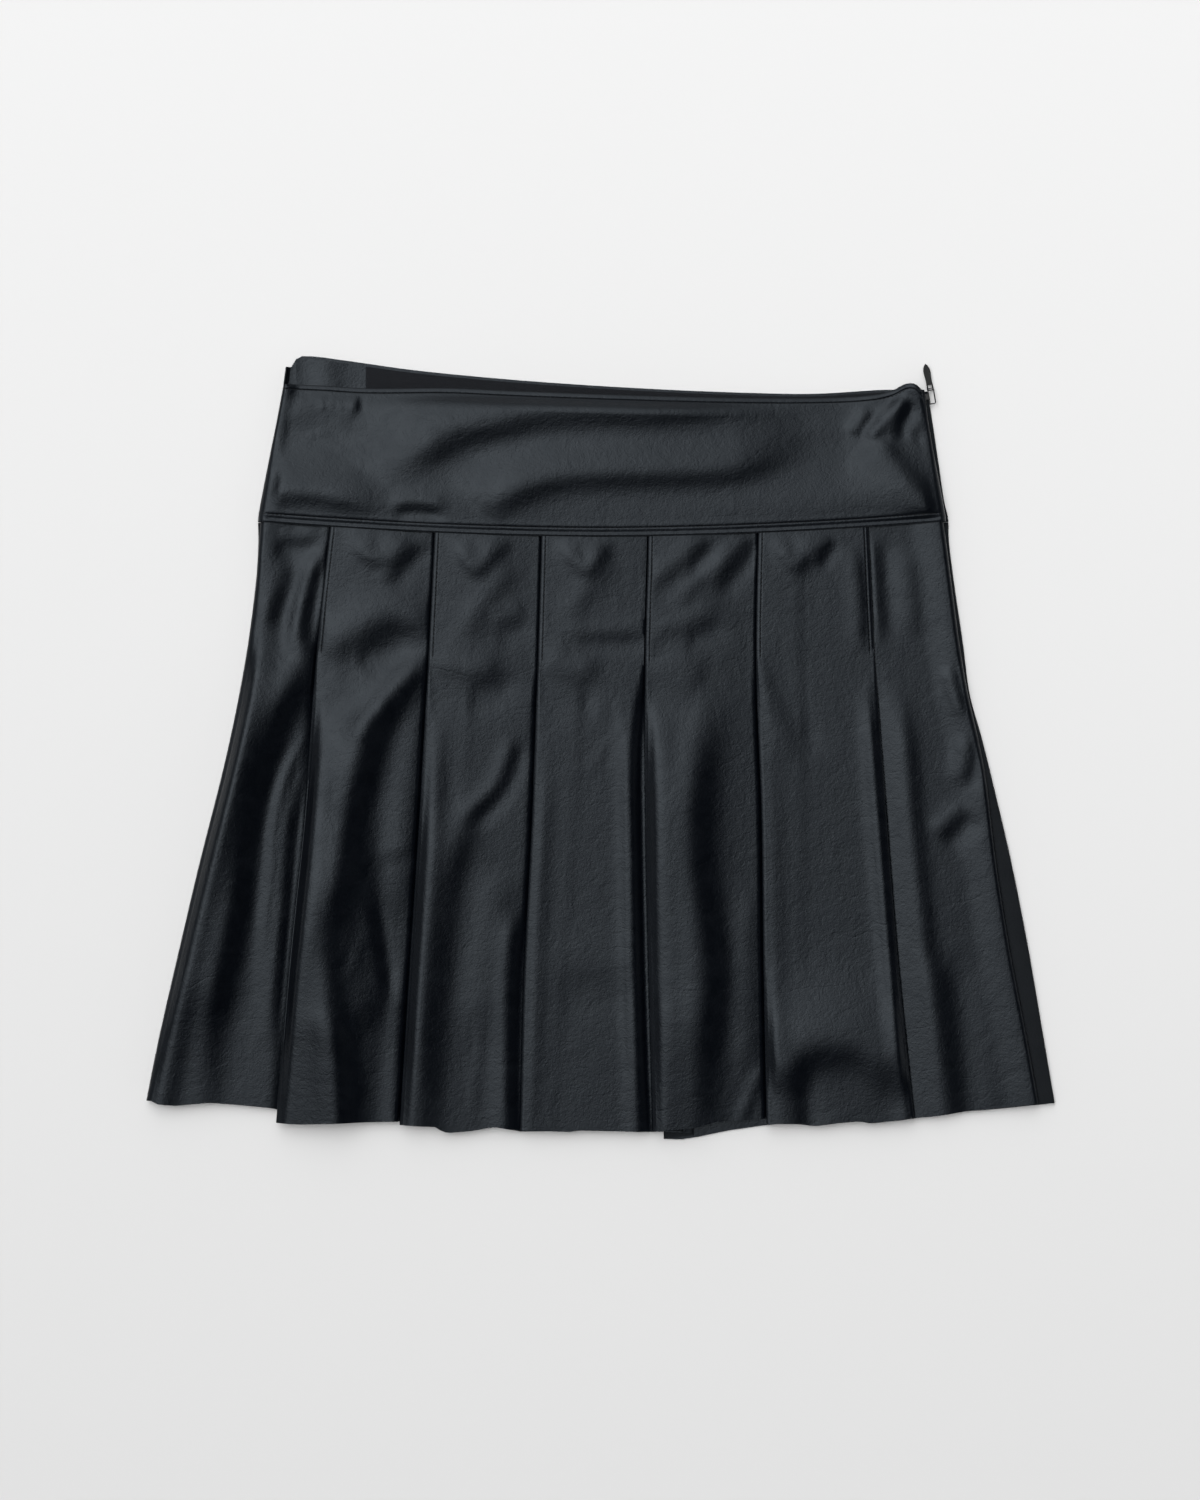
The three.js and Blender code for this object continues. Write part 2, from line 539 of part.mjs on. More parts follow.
function yokeFrontWall() {
  const downs = [0, 0.06, 0.16, 0.3, 0.46, 0.62, 0.76, 0.88, 1];
  const edgeLeft = yokeLeft(yokeEdgeY(YOKE_HALF_WIDTH)) + LEFT_EDGE.radius + NEST;
  const edgeRight = yokeRight(yokeEdgeY(YOKE_HALF_WIDTH)) - RIGHT_EDGE.radius - NEST;
  const places = yokeEdgePlaces(edgeLeft, edgeRight);
  const rows = downs.map((down) => {
    const grown = ease(YOKE_RISE.from, YOKE_RISE.to, down);
    const leftRadius = mix(WAIST_RIM_RADIUS, LEFT_EDGE.radius + NEST, grown);
    const rightRadius = mix(WAIST_RIM_RADIUS, RIGHT_EDGE.radius + NEST, grown);
    const middle = places.map((edgeX) => {
      const share = (edgeX - edgeLeft) / (edgeRight - edgeLeft);
      const place = yokePlace(share, down, frontWaistY, yokeLeft, yokeRight);
      const rims = {
        left: place.left + leftRadius,
        right: place.right - rightRadius,
        leftTop: LEFT_EDGE.frontEnd + leftRadius,
        rightTop: RIGHT_EDGE.frontEnd + rightRadius,
      };
      const x = mix(rims.left, rims.right, share);
      return new THREE.Vector3(x, place.y, yokeFrontHeight(x, place.y, down, edgeX, rims));
    });
    const first = yokePlace(0, down, frontWaistY, yokeLeft, yokeRight);
    const last = yokePlace(1, down, frontWaistY, yokeLeft, yokeRight);
    const leftRim = frontRim(leftRadius, LEFT_EDGE.frontEnd, 1);
    const rightRim = frontRim(rightRadius, RIGHT_EDGE.frontEnd, -1).reverse();
    return [
      ...leftRim.map((rim) => new THREE.Vector3(first.left + rim.x, first.y, rim.z)),
      ...middle,
      ...rightRim.map((rim) => new THREE.Vector3(last.right + rim.x, last.y, rim.z)),
    ];
  });
  return wall(rows);
}

function yokeBackWall() {
  const shares = [0, 0.015, 0.06, 0.15, 0.28, 0.42, 0.56, 0.7, 0.84, 0.94, 1];
  const downs = [0, 0.12, 0.35, 0.65, 1];
  const turn = RIGHT_EDGE.zipTurn;
  const rows = downs.map((down) => {
    const middle = shares.map((share) => {
      const place = yokePlace(share, down, backWaistY, yokeLeft, yokeBackRight);
      const x = mix(place.left + backLeftRadius, place.right - turn, share);
      return new THREE.Vector3(x, place.y, BACK_BED);
    });
    const first = yokePlace(0, down, backWaistY, yokeLeft, yokeBackRight);
    const last = yokePlace(1, down, backWaistY, yokeLeft, yokeBackRight);
    return [
      ...backLeftRim().map((rim) => new THREE.Vector3(first.left + rim.x, first.y, rim.z)),
      ...middle,
      ...backRim(-YOKE_LAP).map((rim) => new THREE.Vector3(last.right + rim.x, last.y, rim.z)),
    ];
  });
  return wall(rows);
}

// A strip of facing on the inside of the back, from one place to another across the waist.
function facingWall(from, to, steps) {
  const rows = [0, 0.5, 1].map((down) =>
    Array.from({ length: steps + 1 }, (_, i) => {
      const x = mix(from, to, i / steps);
      const y = mix(backWaistY(x) - FACING_INSET, frontWaistY(x) - FACING_HIDDEN, down);
      return new THREE.Vector3(x, y, BACK_BED + LAYER);
    }),
  );
  return wall(rows);
}

// Edge of the back along the whole zip, by height: the yoke's side, then the lower skirt's.
function zipEdgeX(y) {
  const seam = yokeEdgeY(YOKE_HALF_WIDTH);
  return y > seam ? yokeBackRight(y) : sideCurve("backRight")(seam - y);
}

// A flat strip that follows the zip, between two setbacks from the back's edge.
function zipStrip(outerSetback, innerSetback, steps, height, thickness) {
  const rows = Array.from({ length: steps + 1 }, (_, i) => {
    const y = ZIP_TOP_Y - i * ZIP_STEP;
    return [innerSetback, outerSetback].map((setback) => new THREE.Vector3(zipEdgeX(y) - setback, y, height));
  });
  return wall(rows, thickness);
}

// The slider and its pull. "Up" the zip leans in by the slope of the side.
const ZIP_LEAN = THREE.MathUtils.degToRad(10);
const SLIDER = {
  x: 187.2,
  y: 200.4,
  z: ZIP_HEIGHT,
  long: 9.4,
  reach: 3.9,
  corner: 1.2,
  thick: 0.8,
  bar: 0.65,
  neck: 0.8,
};
const SLIDER_BODY = { long: 7.6, wide: 2.6, thick: 1.0, inner: 4.9 };
const SLIDER_NECK = { long: 3.2, from: -2.9, to: 0.5 };
const PULL = { long: 15.2, wide: 5.6, thick: 0.55, eyeWide: 3.6, eyeLong: 2.9, rim: 0.6 };
const PULL_TILT = THREE.MathUtils.degToRad(50);
const PULL_LEAN = THREE.MathUtils.degToRad(2);
const PIVOT_ALONG = SLIDER.long / 2 - SLIDER.bar - PULL.rim / 2 - SEAM_GAP;
const PIVOT_OUT = SLIDER.reach / 2;

function toManifold(geometry) {
  const bare = geometry.clone();
  bare.deleteAttribute("normal");
  bare.deleteAttribute("uv");
  const merged = mergeVertices(bare, 1e-4);
  return new wasm.Manifold(
    new wasm.Mesh({
      numProp: 3,
      vertProperties: merged.attributes.position.array,
      triVerts: new Uint32Array(merged.index.array),
    }),
  );
}

function fromManifold(solid) {
  const mesh = solid.getMesh();
  const geometry = new THREE.BufferGeometry();
  geometry.setAttribute("position", new THREE.BufferAttribute(mesh.vertProperties, 3));
  geometry.setIndex(new THREE.BufferAttribute(mesh.triVerts, 1));
  return geometry;
}

// A rounded D-shaped loop with a hole through it, lying in XY, thick along Z.
function loopShape() {
  const half = SLIDER.long / 2;
  const shape = new THREE.Shape();
  shape.moveTo(0, -half);
  const cornerX = SLIDER.reach - SLIDER.corner;
  shape.lineTo(cornerX, -half);
  shape.absarc(cornerX, -half + SLIDER.corner, SLIDER.corner, -Math.PI / 2, 0, false);
  shape.lineTo(SLIDER.reach, half - SLIDER.corner);
  shape.absarc(cornerX, half - SLIDER.corner, SLIDER.corner, 0, Math.PI / 2, false);
  shape.lineTo(0, half);
  shape.closePath();
  const hole = new THREE.Path();
  const inset = SLIDER.bar;
  hole.moveTo(inset, -half + inset);
  hole.lineTo(inset, half - inset);
  hole.lineTo(SLIDER.reach - inset, half - inset);
  hole.lineTo(SLIDER.reach - inset, -half + inset);
  hole.closePath();
  shape.holes.push(hole);
  return shape;
}

function sliderGeometry() {
  const loop = new THREE.ExtrudeGeometry(loopShape(), {
    depth: SLIDER.thick,
    bevelEnabled: false,
    curveSegments: 3,
  });
  loop.translate(0, 0, -SLIDER.thick / 2);
  const neck = new THREE.BoxGeometry(SLIDER_NECK.to - SLIDER_NECK.from, SLIDER_NECK.long, SLIDER.neck);
  neck.translate((SLIDER_NECK.to + SLIDER_NECK.from) / 2, 0, 0);
  const body = new THREE.BoxGeometry(SLIDER_BODY.wide, SLIDER_BODY.long, SLIDER_BODY.thick);
  body.translate(SLIDER_BODY.wide / 2 - SLIDER_BODY.inner, 0, 0);
  const joined = toManifold(loop).add(toManifold(neck)).add(toManifold(body));
  return fromManifold(joined);
}

// The pull is a leaf-shaped blade with an eye at its root. It is drawn along +Y from its pivot.
function pullGeometry() {
  const half = PULL.wide / 2;
  const root = PULL.eyeWide / 2 + PULL.rim;
  const blade = new THREE.Shape();
  blade.moveTo(-root, -PULL.rim / 2);
  blade.lineTo(root, -PULL.rim / 2);
  blade.lineTo(root, PULL.eyeLong);
  blade.quadraticCurveTo(root * 0.8, PULL.eyeLong + 1.6, half * 0.86, PULL.long * 0.52);
  blade.quadraticCurveTo(half * 1.25, PULL.long * 0.86, 0, PULL.long);
  blade.quadraticCurveTo(-half * 1.25, PULL.long * 0.86, -half * 0.86, PULL.long * 0.52);
  blade.quadraticCurveTo(-root * 0.8, PULL.eyeLong + 1.6, -root, PULL.eyeLong);
  blade.closePath();
  const eye = new THREE.Path();
  eye.moveTo(-PULL.eyeWide / 2, PULL.rim / 2);
  eye.lineTo(-PULL.eyeWide / 2, PULL.eyeLong);
  eye.lineTo(PULL.eyeWide / 2, PULL.eyeLong);
  eye.lineTo(PULL.eyeWide / 2, PULL.rim / 2);
  eye.closePath();
  blade.holes.push(eye);
  const geometry = new THREE.ExtrudeGeometry(blade, {
    depth: PULL.thick,
    bevelEnabled: false,
    curveSegments: 5,
  });
  geometry.translate(0, 0, -PULL.thick / 2);
  return geometry;
}

const leather = new THREE.MeshStandardMaterial({ color: 0x171a1d, roughness: 0.42, metalness: 0 });
const facingCloth = new THREE.MeshStandardMaterial({ color: 0x14161a, roughness: 0.85, metalness: 0 });
const tapeCloth = new THREE.MeshStandardMaterial({ color: 0x121214, roughness: 0.9, metalness: 0 });
const nylon = new THREE.MeshStandardMaterial({ color: 0x18181a, roughness: 0.5, metalness: 0 });
const blackMetal = new THREE.MeshStandardMaterial({ color: 0x202225, roughness: 0.38, metalness: 0.6 });

const skirt = new THREE.Group();
function addPiece(name, geometry, material, parent = skirt) {
  const mesh = new THREE.Mesh(geometry, material);
  mesh.name = name;
  parent.add(mesh);
  return mesh;
}

const FRONT_STATIONS = [-10, 4, 24, 48, 71, 84, 104, 130, 160, 192, 226, 262, 300, 338];
const BACK_STATIONS = [SEAM_GAP, 50, 100, 135, 200, 270, 338];
addPiece("skirt_front", pleatedWall(frontSide, FRONT_STATIONS), leather);
addPiece("skirt_back", pleatedWall(backSide, BACK_STATIONS), leather);
addPiece("yoke_front", yokeFrontWall(), leather);
addPiece("yoke_back", yokeBackWall(), leather);
const sideFacing = facingWall(FACING_ENDS.left, FACING_JOIN_X - SEAM_GAP / 2, 5);
const backFacing = facingWall(FACING_JOIN_X + SEAM_GAP / 2, FACING_ENDS.right, 16);
addPiece("waist_facing_side", sideFacing, leather);
addPiece("waist_facing_back", backFacing, facingCloth);

const chainInner = CHAIN_SETBACK + CHAIN_WIDTH;
const tapeOuter = chainInner + SEAM_GAP;
addPiece("zip_chain", zipStrip(CHAIN_SETBACK, chainInner, ZIP_STEPS, ZIP_HEIGHT, CHAIN_THICK), nylon);
const tape = zipStrip(tapeOuter, tapeOuter + TAPE_WIDTH, ZIP_STEPS + 1, ZIP_HEIGHT + TAPE_RISE, CLOTH);
addPiece("zip_tape", tape, tapeCloth);

const sliderFrame = new THREE.Group();
sliderFrame.position.set(SLIDER.x, SLIDER.y, SLIDER.z);
sliderFrame.rotation.z = ZIP_LEAN;
addPiece("zip_slider", sliderGeometry(), blackMetal, sliderFrame);

const pullHinge = new THREE.Group();
pullHinge.position.set(PIVOT_OUT, PIVOT_ALONG, 0);
pullHinge.rotation.set(0, Math.PI / 2 - PULL_TILT, PULL_LEAN, "YXZ");
addPiece("zip_pull", pullGeometry(), blackMetal, pullHinge);
sliderFrame.add(pullHinge);
skirt.add(sliderFrame);

export default skirt;
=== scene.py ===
# %% [markdown]
# # A pleated leather mini skirt, laid flat
# The skirt lies on its back, seen straight from above. A high yoke carries a lower skirt with six
# pleats, each stitched down for a hand's width and free below. The leather is a thin imitation
# leather: nearly black, smooth, with a soft sheen that does all the drawing. So most of this
# lesson is about the form of the cloth, because the sheen only shows what the form gives it.

# %% Load the frame
import json
from collections import namedtuple

import bmesh
import bpy
import numpy as np
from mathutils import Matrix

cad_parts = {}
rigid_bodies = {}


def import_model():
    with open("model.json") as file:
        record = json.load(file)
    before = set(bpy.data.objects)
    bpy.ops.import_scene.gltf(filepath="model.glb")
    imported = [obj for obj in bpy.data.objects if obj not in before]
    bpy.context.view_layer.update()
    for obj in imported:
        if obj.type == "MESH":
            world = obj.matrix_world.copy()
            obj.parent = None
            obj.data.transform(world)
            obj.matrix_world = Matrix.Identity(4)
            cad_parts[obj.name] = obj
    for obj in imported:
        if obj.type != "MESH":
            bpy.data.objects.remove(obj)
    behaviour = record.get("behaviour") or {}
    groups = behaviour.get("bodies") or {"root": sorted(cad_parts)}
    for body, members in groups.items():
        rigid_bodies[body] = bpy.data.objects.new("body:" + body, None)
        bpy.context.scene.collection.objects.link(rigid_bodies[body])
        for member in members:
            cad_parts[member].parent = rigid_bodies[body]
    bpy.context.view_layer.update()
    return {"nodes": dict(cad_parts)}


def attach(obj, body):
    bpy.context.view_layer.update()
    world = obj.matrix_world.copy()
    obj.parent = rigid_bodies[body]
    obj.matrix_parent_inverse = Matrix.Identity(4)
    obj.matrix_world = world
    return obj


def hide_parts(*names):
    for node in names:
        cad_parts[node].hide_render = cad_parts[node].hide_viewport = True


for leftover in list(bpy.data.objects):
    bpy.data.objects.remove(leftover)
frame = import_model()

# %% [markdown]
# ## The camera
# The photo is taken straight from above, and a wide frame would show the sides of the folds. A long
# lens far away keeps the lines as parallel as they are in the picture. The frame's width and height
# on the floor are real sizes, and the lens gives the distance.

# %% Camera
MM = 0.001
FRAME_HEIGHT = 855.0
FRAME_CENTRE = (-0.3, -1.4)
LENS = 85.0
SENSOR = 36.0
MEAN_HEIGHT = 7.0

scene = bpy.context.scene
camera = bpy.data.objects.new("camera", bpy.data.cameras.new("camera"))
scene.collection.objects.link(camera)
camera.data.lens = LENS
camera.data.sensor_width = SENSOR
camera_height = MEAN_HEIGHT + FRAME_HEIGHT * LENS / SENSOR
camera.location = (FRAME_CENTRE[0] * MM, FRAME_CENTRE[1] * MM, camera_height * MM)
scene.camera = camera
scene.view_settings.view_transform = "Standard"
print(f"camera {camera_height:.0f} mm above the floor")

# %% [markdown]
# ## The light
# Black leather has almost no colour of its own, so its picture is a picture of the lights. In the
# photo the level parts are a mid grey, slopes to the left are brighter, and slopes to the right or
# towards the hem are nearly black. One large soft light overhead, leaning to the left and a little
# to the top, gives that. It is painted on the sky, where it makes no hard edge in the sheen. The
# rolled edges show a thin bright line towards the waist, so a second, weaker light stands low behind
# the waist, and a faint ring runs round the horizon.

# %% Sky
SKY_LEAN = (-0.29, 0.175, 0.941)
SKY_SPREAD = 12.0
SKY_KEY = 5.9
SKY_BEHIND = (-0.12, 0.72, 0.684)
SKY_BEHIND_SPREAD = 12.0
SKY_BEHIND_KEY = 3.0
SKY_SIDES = 1.4
SKY_FILL = 0.008
SKY_SEEN = (0.78, 0.78, 0.78, 1.0)

world = bpy.data.worlds.new("studio")
scene.world = world
world.use_nodes = True
sky = world.node_tree
sky.nodes.clear()


def add_node(tree, kind, values=(), **settings):
    """A new node, with its settings, and with values on its inputs by name or number."""
    node = tree.nodes.new(kind)
    for name, value in settings.items():
        setattr(node, name, value)
    for socket, value in dict(values).items():
        node.inputs[socket].default_value = value
    return node


def wire(tree, links):
    """Links between nodes: from, its output, to, its input."""
    for start, output, end, entry in links:
        tree.links.new(start.outputs[output], end.inputs[entry])


direction = add_node(sky, "ShaderNodeTexCoord")
lean = add_node(sky, "ShaderNodeVectorMath", {1: SKY_LEAN}, operation="DOT_PRODUCT")
unit = add_node(sky, "ShaderNodeVectorMath", operation="NORMALIZE")
above = add_node(sky, "ShaderNodeMath", {1: 0.0}, operation="MAXIMUM")
spread = add_node(sky, "ShaderNodeMath", {1: SKY_SPREAD}, operation="POWER")
behind = add_node(sky, "ShaderNodeVectorMath", {1: SKY_BEHIND}, operation="DOT_PRODUCT")
behind_above = add_node(sky, "ShaderNodeMath", {1: 0.0}, operation="MAXIMUM")
behind_spread = add_node(sky, "ShaderNodeMath", {1: SKY_BEHIND_SPREAD}, operation="POWER")
behind_sum = add_node(sky, "ShaderNodeMath", {1: SKY_BEHIND_KEY}, operation="MULTIPLY_ADD")
height = add_node(sky, "ShaderNodeSeparateXYZ")
lowness = add_node(sky, "ShaderNodeMath", {0: 1.0}, operation="SUBTRACT")
low_cube = add_node(sky, "ShaderNodeMath", {1: 3.0}, operation="POWER")
sides = add_node(sky, "ShaderNodeMath", {1: SKY_SIDES, 2: SKY_FILL}, operation="MULTIPLY_ADD")
strength = add_node(sky, "ShaderNodeMath", {1: SKY_KEY}, operation="MULTIPLY_ADD")
lit = add_node(sky, "ShaderNodeBackground", {"Color": (1.0, 1.0, 1.0, 1.0)})
seen = add_node(sky, "ShaderNodeBackground", {"Color": SKY_SEEN})
rays = add_node(sky, "ShaderNodeLightPath")
either = add_node(sky, "ShaderNodeMixShader")
sky_out = add_node(sky, "ShaderNodeOutputWorld")
wire(sky, (
    (direction, "Generated", unit, 0),
    (unit, "Vector", lean, 0),
    (lean, "Value", above, 0),
    (above, 0, spread, 0),
    (spread, 0, strength, 0),
    (unit, "Vector", height, 0),
    (height, "Z", lowness, 1),
    (lowness, 0, low_cube, 0),
    (low_cube, 0, sides, 0),
    (unit, "Vector", behind, 0),
    (behind, "Value", behind_above, 0),
    (behind_above, 0, behind_spread, 0),
    (behind_spread, 0, behind_sum, 0),
    (sides, 0, behind_sum, 2),
    (behind_sum, 0, strength, 2),
    (strength, 0, lit, "Strength"),
    (rays, "Is Camera Ray", either, 0),
    (lit, 0, either, 1),
    (seen, 0, either, 2),
    (either, 0, sky_out, "Surface"),
))
print("sky: key", SKY_KEY, "fill", SKY_FILL)

# %% [markdown]
# ## The floor
# The ground is a pale paper. Its darkening towards the bottom is painted shade for the light's fall-off:
# a large plane with a colour that follows its own Y does that, and it takes the skirt's soft shadow.

# %% Floor
FLOOR_HALF = 4.0
# Painted shade: the floor's colour is lighter at the top and darker at the bottom, where less light falls.
FLOOR_LIT_TOP_GREY = 0.738
FLOOR_SHADED_BOTTOM_GREY = 0.614


def new_material(name):
    """A material with an empty tree, its shader and its output."""
    material = bpy.data.materials.new(name)
    material.use_nodes = True
    tree = material.node_tree
    tree.nodes.clear()
    shader = add_node(tree, "ShaderNodeBsdfPrincipled")
    out = add_node(tree, "ShaderNodeOutputMaterial")
    tree.links.new(shader.outputs[0], out.inputs["Surface"])
    return material, tree, shader


paper, paper_tree, paper_shader = new_material("pale paper with painted shade")
paper_place = add_node(paper_tree, "ShaderNodeTexCoord")
paper_axes = add_node(paper_tree, "ShaderNodeSeparateXYZ")
# Painted shade: the floor's colour darkens along Y in place of the light's fall-off.
painted_floor_falloff = add_node(paper_tree, "ShaderNodeMapRange", {
    "From Min": -FRAME_HEIGHT * MM / 2,
    "From Max": FRAME_HEIGHT * MM / 2,
    "To Min": FLOOR_SHADED_BOTTOM_GREY,
    "To Max": FLOOR_LIT_TOP_GREY,
})
wire(paper_tree, (
    (paper_place, "Object", paper_axes, 0),
    (paper_axes, "Y", painted_floor_falloff, "Value"),
    (painted_floor_falloff, "Result", paper_shader, "Base Color"),
))
paper_shader.inputs["Roughness"].default_value = 0.9
paper_shader.inputs["Specular IOR Level"].default_value = 0.1

floor_mesh = bpy.data.meshes.new("floor")
floor_corners = [(-1, -1), (1, -1), (1, 1), (-1, 1)]
floor_mesh.from_pydata([(x * FLOOR_HALF, y * FLOOR_HALF, 0.0) for x, y in floor_corners], [], [(0, 1, 2, 3)])
floor_mesh.materials.append(paper)
floor = bpy.data.objects.new("floor", floor_mesh)
scene.collection.objects.link(floor)
print("floor", 2 * FLOOR_HALF, "m wide")

# %% [markdown]
# ## The skirt in numbers
# The cloth is worked out in millimetres. "Down" is the distance below the yoke's lower edge. The
# side edges and the pleats each have a short table, and a smooth curve runs through every column.

# %% Curves through tables
CLOTH = 0.8
HALF = CLOTH / 2
LAYER = 1.0
FOLD_REACH = 0.65
SKIRT_LENGTH = 338.0
YOKE_LAP = 10.0
RELEASE_DOWN = 71.0


def curve_through(places, values):
    """A smooth curve through a table's column, read at any place or array of places."""
    places = np.array(places, float)
    values = np.array(values, float)
    before = np.maximum(np.arange(len(places)) - 1, 0)
    after = np.minimum(np.arange(len(places)) + 1, len(places) - 1)
    slopes = (values[after] - values[before]) / (places[after] - places[before])

    def read(where):
        """The curve's value at a place."""
        where = np.clip(where, places[0], places[-1])
        i = np.clip(np.searchsorted(places, where), 1, len(places) - 1)
        span = places[i] - places[i - 1]
        t = (where - places[i - 1]) / span
        start = (2 * t**3 - 3 * t**2 + 1) * values[i - 1] + (t**3 - 2 * t**2 + t) * span * slopes[i - 1]
        end = (3 * t**2 - 2 * t**3) * values[i] + (t**3 - t**2) * span * slopes[i]
        return start + end

    return read


def ease(start, end, value):
    """0 before start, 1 after end, and an even S between them."""
    t = np.clip((np.asarray(value, float) - start) / (end - start), 0, 1)
    return t * t * (3 - 2 * t)


def mix(a, b, share):
    """What lies between a and b, by a share."""
    return a + (b - a) * share


def soft_ramp(start, end, value, rounding=0.12):
    """0 before start, 1 after end, straight between them but for its rounded ends."""
    t = np.clip((np.asarray(value, float) - start) / (end - start), 0, 1)
    straight = (t - rounding / 2) / (1 - rounding)
    early = t**2 / (2 * rounding * (1 - rounding))
    late = 1 - (1 - t)**2 / (2 * rounding * (1 - rounding))
    return np.where(t < rounding, early, np.where(t > 1 - rounding, late, straight))


print("a ramp from 0 to 1, read at its quarters:", soft_ramp(0, 1, np.linspace(0, 1, 5)).round(2))

# %% Tables of the sides and the pleats
SIDE_DOWN = [-10, -3, 0, 12, 35, 71, 100, 125, 150, 200, 250, 300, 338]
LEFT_X = [
    -192.2, -193.5, -193.85, -194.8, -196.4, -200.9, -205.8, -210.8, -216.4, -228.8, -240.3, -251.5, -259]
RIGHT_X = [193.7, 195, 195.35, 197, 199.9, 204.6, 209.4, 215, 219.8, 226, 233.8, 243.2, 250]
BACK_LEFT_X = [
    -195.2, -195.2, -195.2, -195, -196.4, -200.7, -205.4, -210.2, -215.8, -228, -239.4, -250.5, -258.2]
BACK_RIGHT_X = [198.3, 198.4, 198.4, 198.8, 201.6, 206.8, 210.6, 217.3, 223.4, 234.8, 244.4, 252.8, 259.2]
left_at = curve_through(SIDE_DOWN, LEFT_X)
right_at = curve_through(SIDE_DOWN, RIGHT_X)
back_left_at = curve_through(SIDE_DOWN, BACK_LEFT_X)
back_right_at = curve_through(SIDE_DOWN, BACK_RIGHT_X)

PLEAT_DOWN = [-10, 71, 160, 250, 338]
Pleat = namedtuple("Pleat", "over places")
FRONT_PLEATS = [
    Pleat("right", [-152.8, -161.6, -168.4, -177.6, -184.7]),
    Pleat("right", [-93.9, -97.9, -103.0, -108.8, -114.3]),
    Pleat("right", [-33.1, -35.5, -38.8, -43.4, -45.6]),
    Pleat("right", [27.8, 25.7, 25.8, 27.6, 30.2]),
    Pleat("right", [90.4, 89.0, 91.9, 93.1, 94.9]),
    Pleat("left", [152.2, 156.0, 162.5, 169.7, 178.7]),
]
BACK_PLEATS = [
    Pleat("right", [-152.0, -158.0, -165.0, -173.0, -181.0]),
    Pleat("right", [-90.0, -90.0, -92.0, -95.0, -99.0]),
    Pleat("right", [-28.0, -27.0, -28.0, -30.0, -33.0]),
    Pleat("right", [33.0, 34.5, 35.0, 36.0, 36.5]),
    Pleat("right", [94.0, 97.0, 101.0, 105.0, 109.0]),
    Pleat("left", [153.0, 159.0, 166.0, 174.0, 183.0]),
]
front_lines = [curve_through(PLEAT_DOWN, pleat.places) for pleat in FRONT_PLEATS]
back_lines = [curve_through(PLEAT_DOWN, pleat.places) for pleat in BACK_PLEATS]
print("hem", round(float(back_right_at(SKIRT_LENGTH) - left_at(SKIRT_LENGTH))), "mm wide")

# %% [markdown]
# ## The raw hem
# The hem is cut with a blade and left raw, and each panel hangs to its own length. A row of places
# from a panel's left to its right gives the height of its cut. Where a pleat folds under, the cut
# runs on from one panel's end to the next one's start.

# %% Hem tables
YOKE_LOW = 120.4
YOKE_RISE = 8.4
YOKE_HALF = 196
YOKE_CURVE = 1.8
Hem = namedtuple("Hem", "shares heights")
FRONT_HEMS = [
    Hem([0, 0.09, 0.22, 0.46, 0.72, 1], [-201.5, -203.2, -204.3, -202.6, -204.3, -206.6]),
    Hem([0, 0.18, 0.5, 1], [-214.0, -214.6, -213.8, -213.4]),
    Hem([0, 0.3, 0.33, 0.39, 0.58, 0.78, 0.87, 1],
        [-215.2, -216.3, -218.8, -219.8, -218.7, -216.4, -217.5, -219.2]),
    Hem([0, 0.39, 0.42, 0.76, 1], [-218.3, -219.2, -218.3, -218.9, -219.4]),
    Hem([0, 0.34, 0.53, 0.95, 1], [-218.6, -216.9, -213.5, -211.8, -211.8]),
    Hem([0, 0.21, 0.33, 0.5, 0.63, 0.7, 1], [-214.6, -214.6, -216.0, -214.0, -213.2, -214.4, -211.6]),
    Hem([0, 0.2, 0.42, 0.72, 1], [-211.8, -210.5, -207.8, -205.5, -203.2]),
]
BACK_HEMS = [
    Hem([0, 0.5, 1], [-199.5, -201.0, -203.5]),
    Hem([0, 0.5, 1], [-209.0, -210.0, -210.5]),
    Hem([0, 0.5, 1], [-212.0, -214.5, -215.5]),
    Hem([0, 0.5, 1], [-216.0, -217.0, -219.5]),
    Hem([0, 0.14, 0.28, 0.5, 0.75, 1], [-223.7, -224.0, -222.4, -218.9, -216.2, -214.5]),
    Hem([0, 0.5, 1], [-212.5, -212.0, -210.0]),
    Hem([0, 0.5, 1], [-209.5, -207.0, -203.2]),
]


def hem_heights(hems, panel, share):
    """Where the cut lies under each point, by its panel and its share of the way along it."""
    heights = np.empty_like(share)
    for number, hem in enumerate(hems):
        here = (panel == number) & (share <= 1)
        heights[here] = np.interp(share[here], hem.shares, hem.heights)
        under = (panel == number) & (share > 1)
        if under.any():
            heights[under] = mix(hem.heights[-1], hems[number + 1].heights[0], share[under] - 1)
    return heights


def yoke_edge_y(x):
    """The yoke's lower edge, lowest in the middle."""
    return YOKE_LOW + YOKE_RISE * np.abs(np.asarray(x) / YOKE_HALF) ** YOKE_CURVE


hem_range = [cut(cut(hem.heights) for hem in FRONT_HEMS) for cut in (max, min)]
print("the front's hem lies between", hem_range, "mm")

# %% [markdown]
# ## Loose folds, placed one by one
# Cloth that was worn and laid down keeps soft folds. Simulated cloth would put them where it likes,
# so here each one is drawn: a smooth path, a width and a height. A ridge is a rounded crest. A flank
# is a slope, high on the left of its path and low on the right: it rises a little first and dips a
# little after, as a real wave does. A bank climbs at its path to a crest on the left and sinks away
# slowly beyond it, as the loose cloth beside a pleat does. In this light a flank with its low side to
# the right or towards the hem is the dark streak between two bright ones.

# %% Fold shapes
Fold = namedtuple("Fold", "panel kind wide high path")
PATH_STEPS = 40
BANK_STEEP = 1.2
BANK_RUN = 3
BANK_MARGIN = 7
FOLD_MARGIN = 3


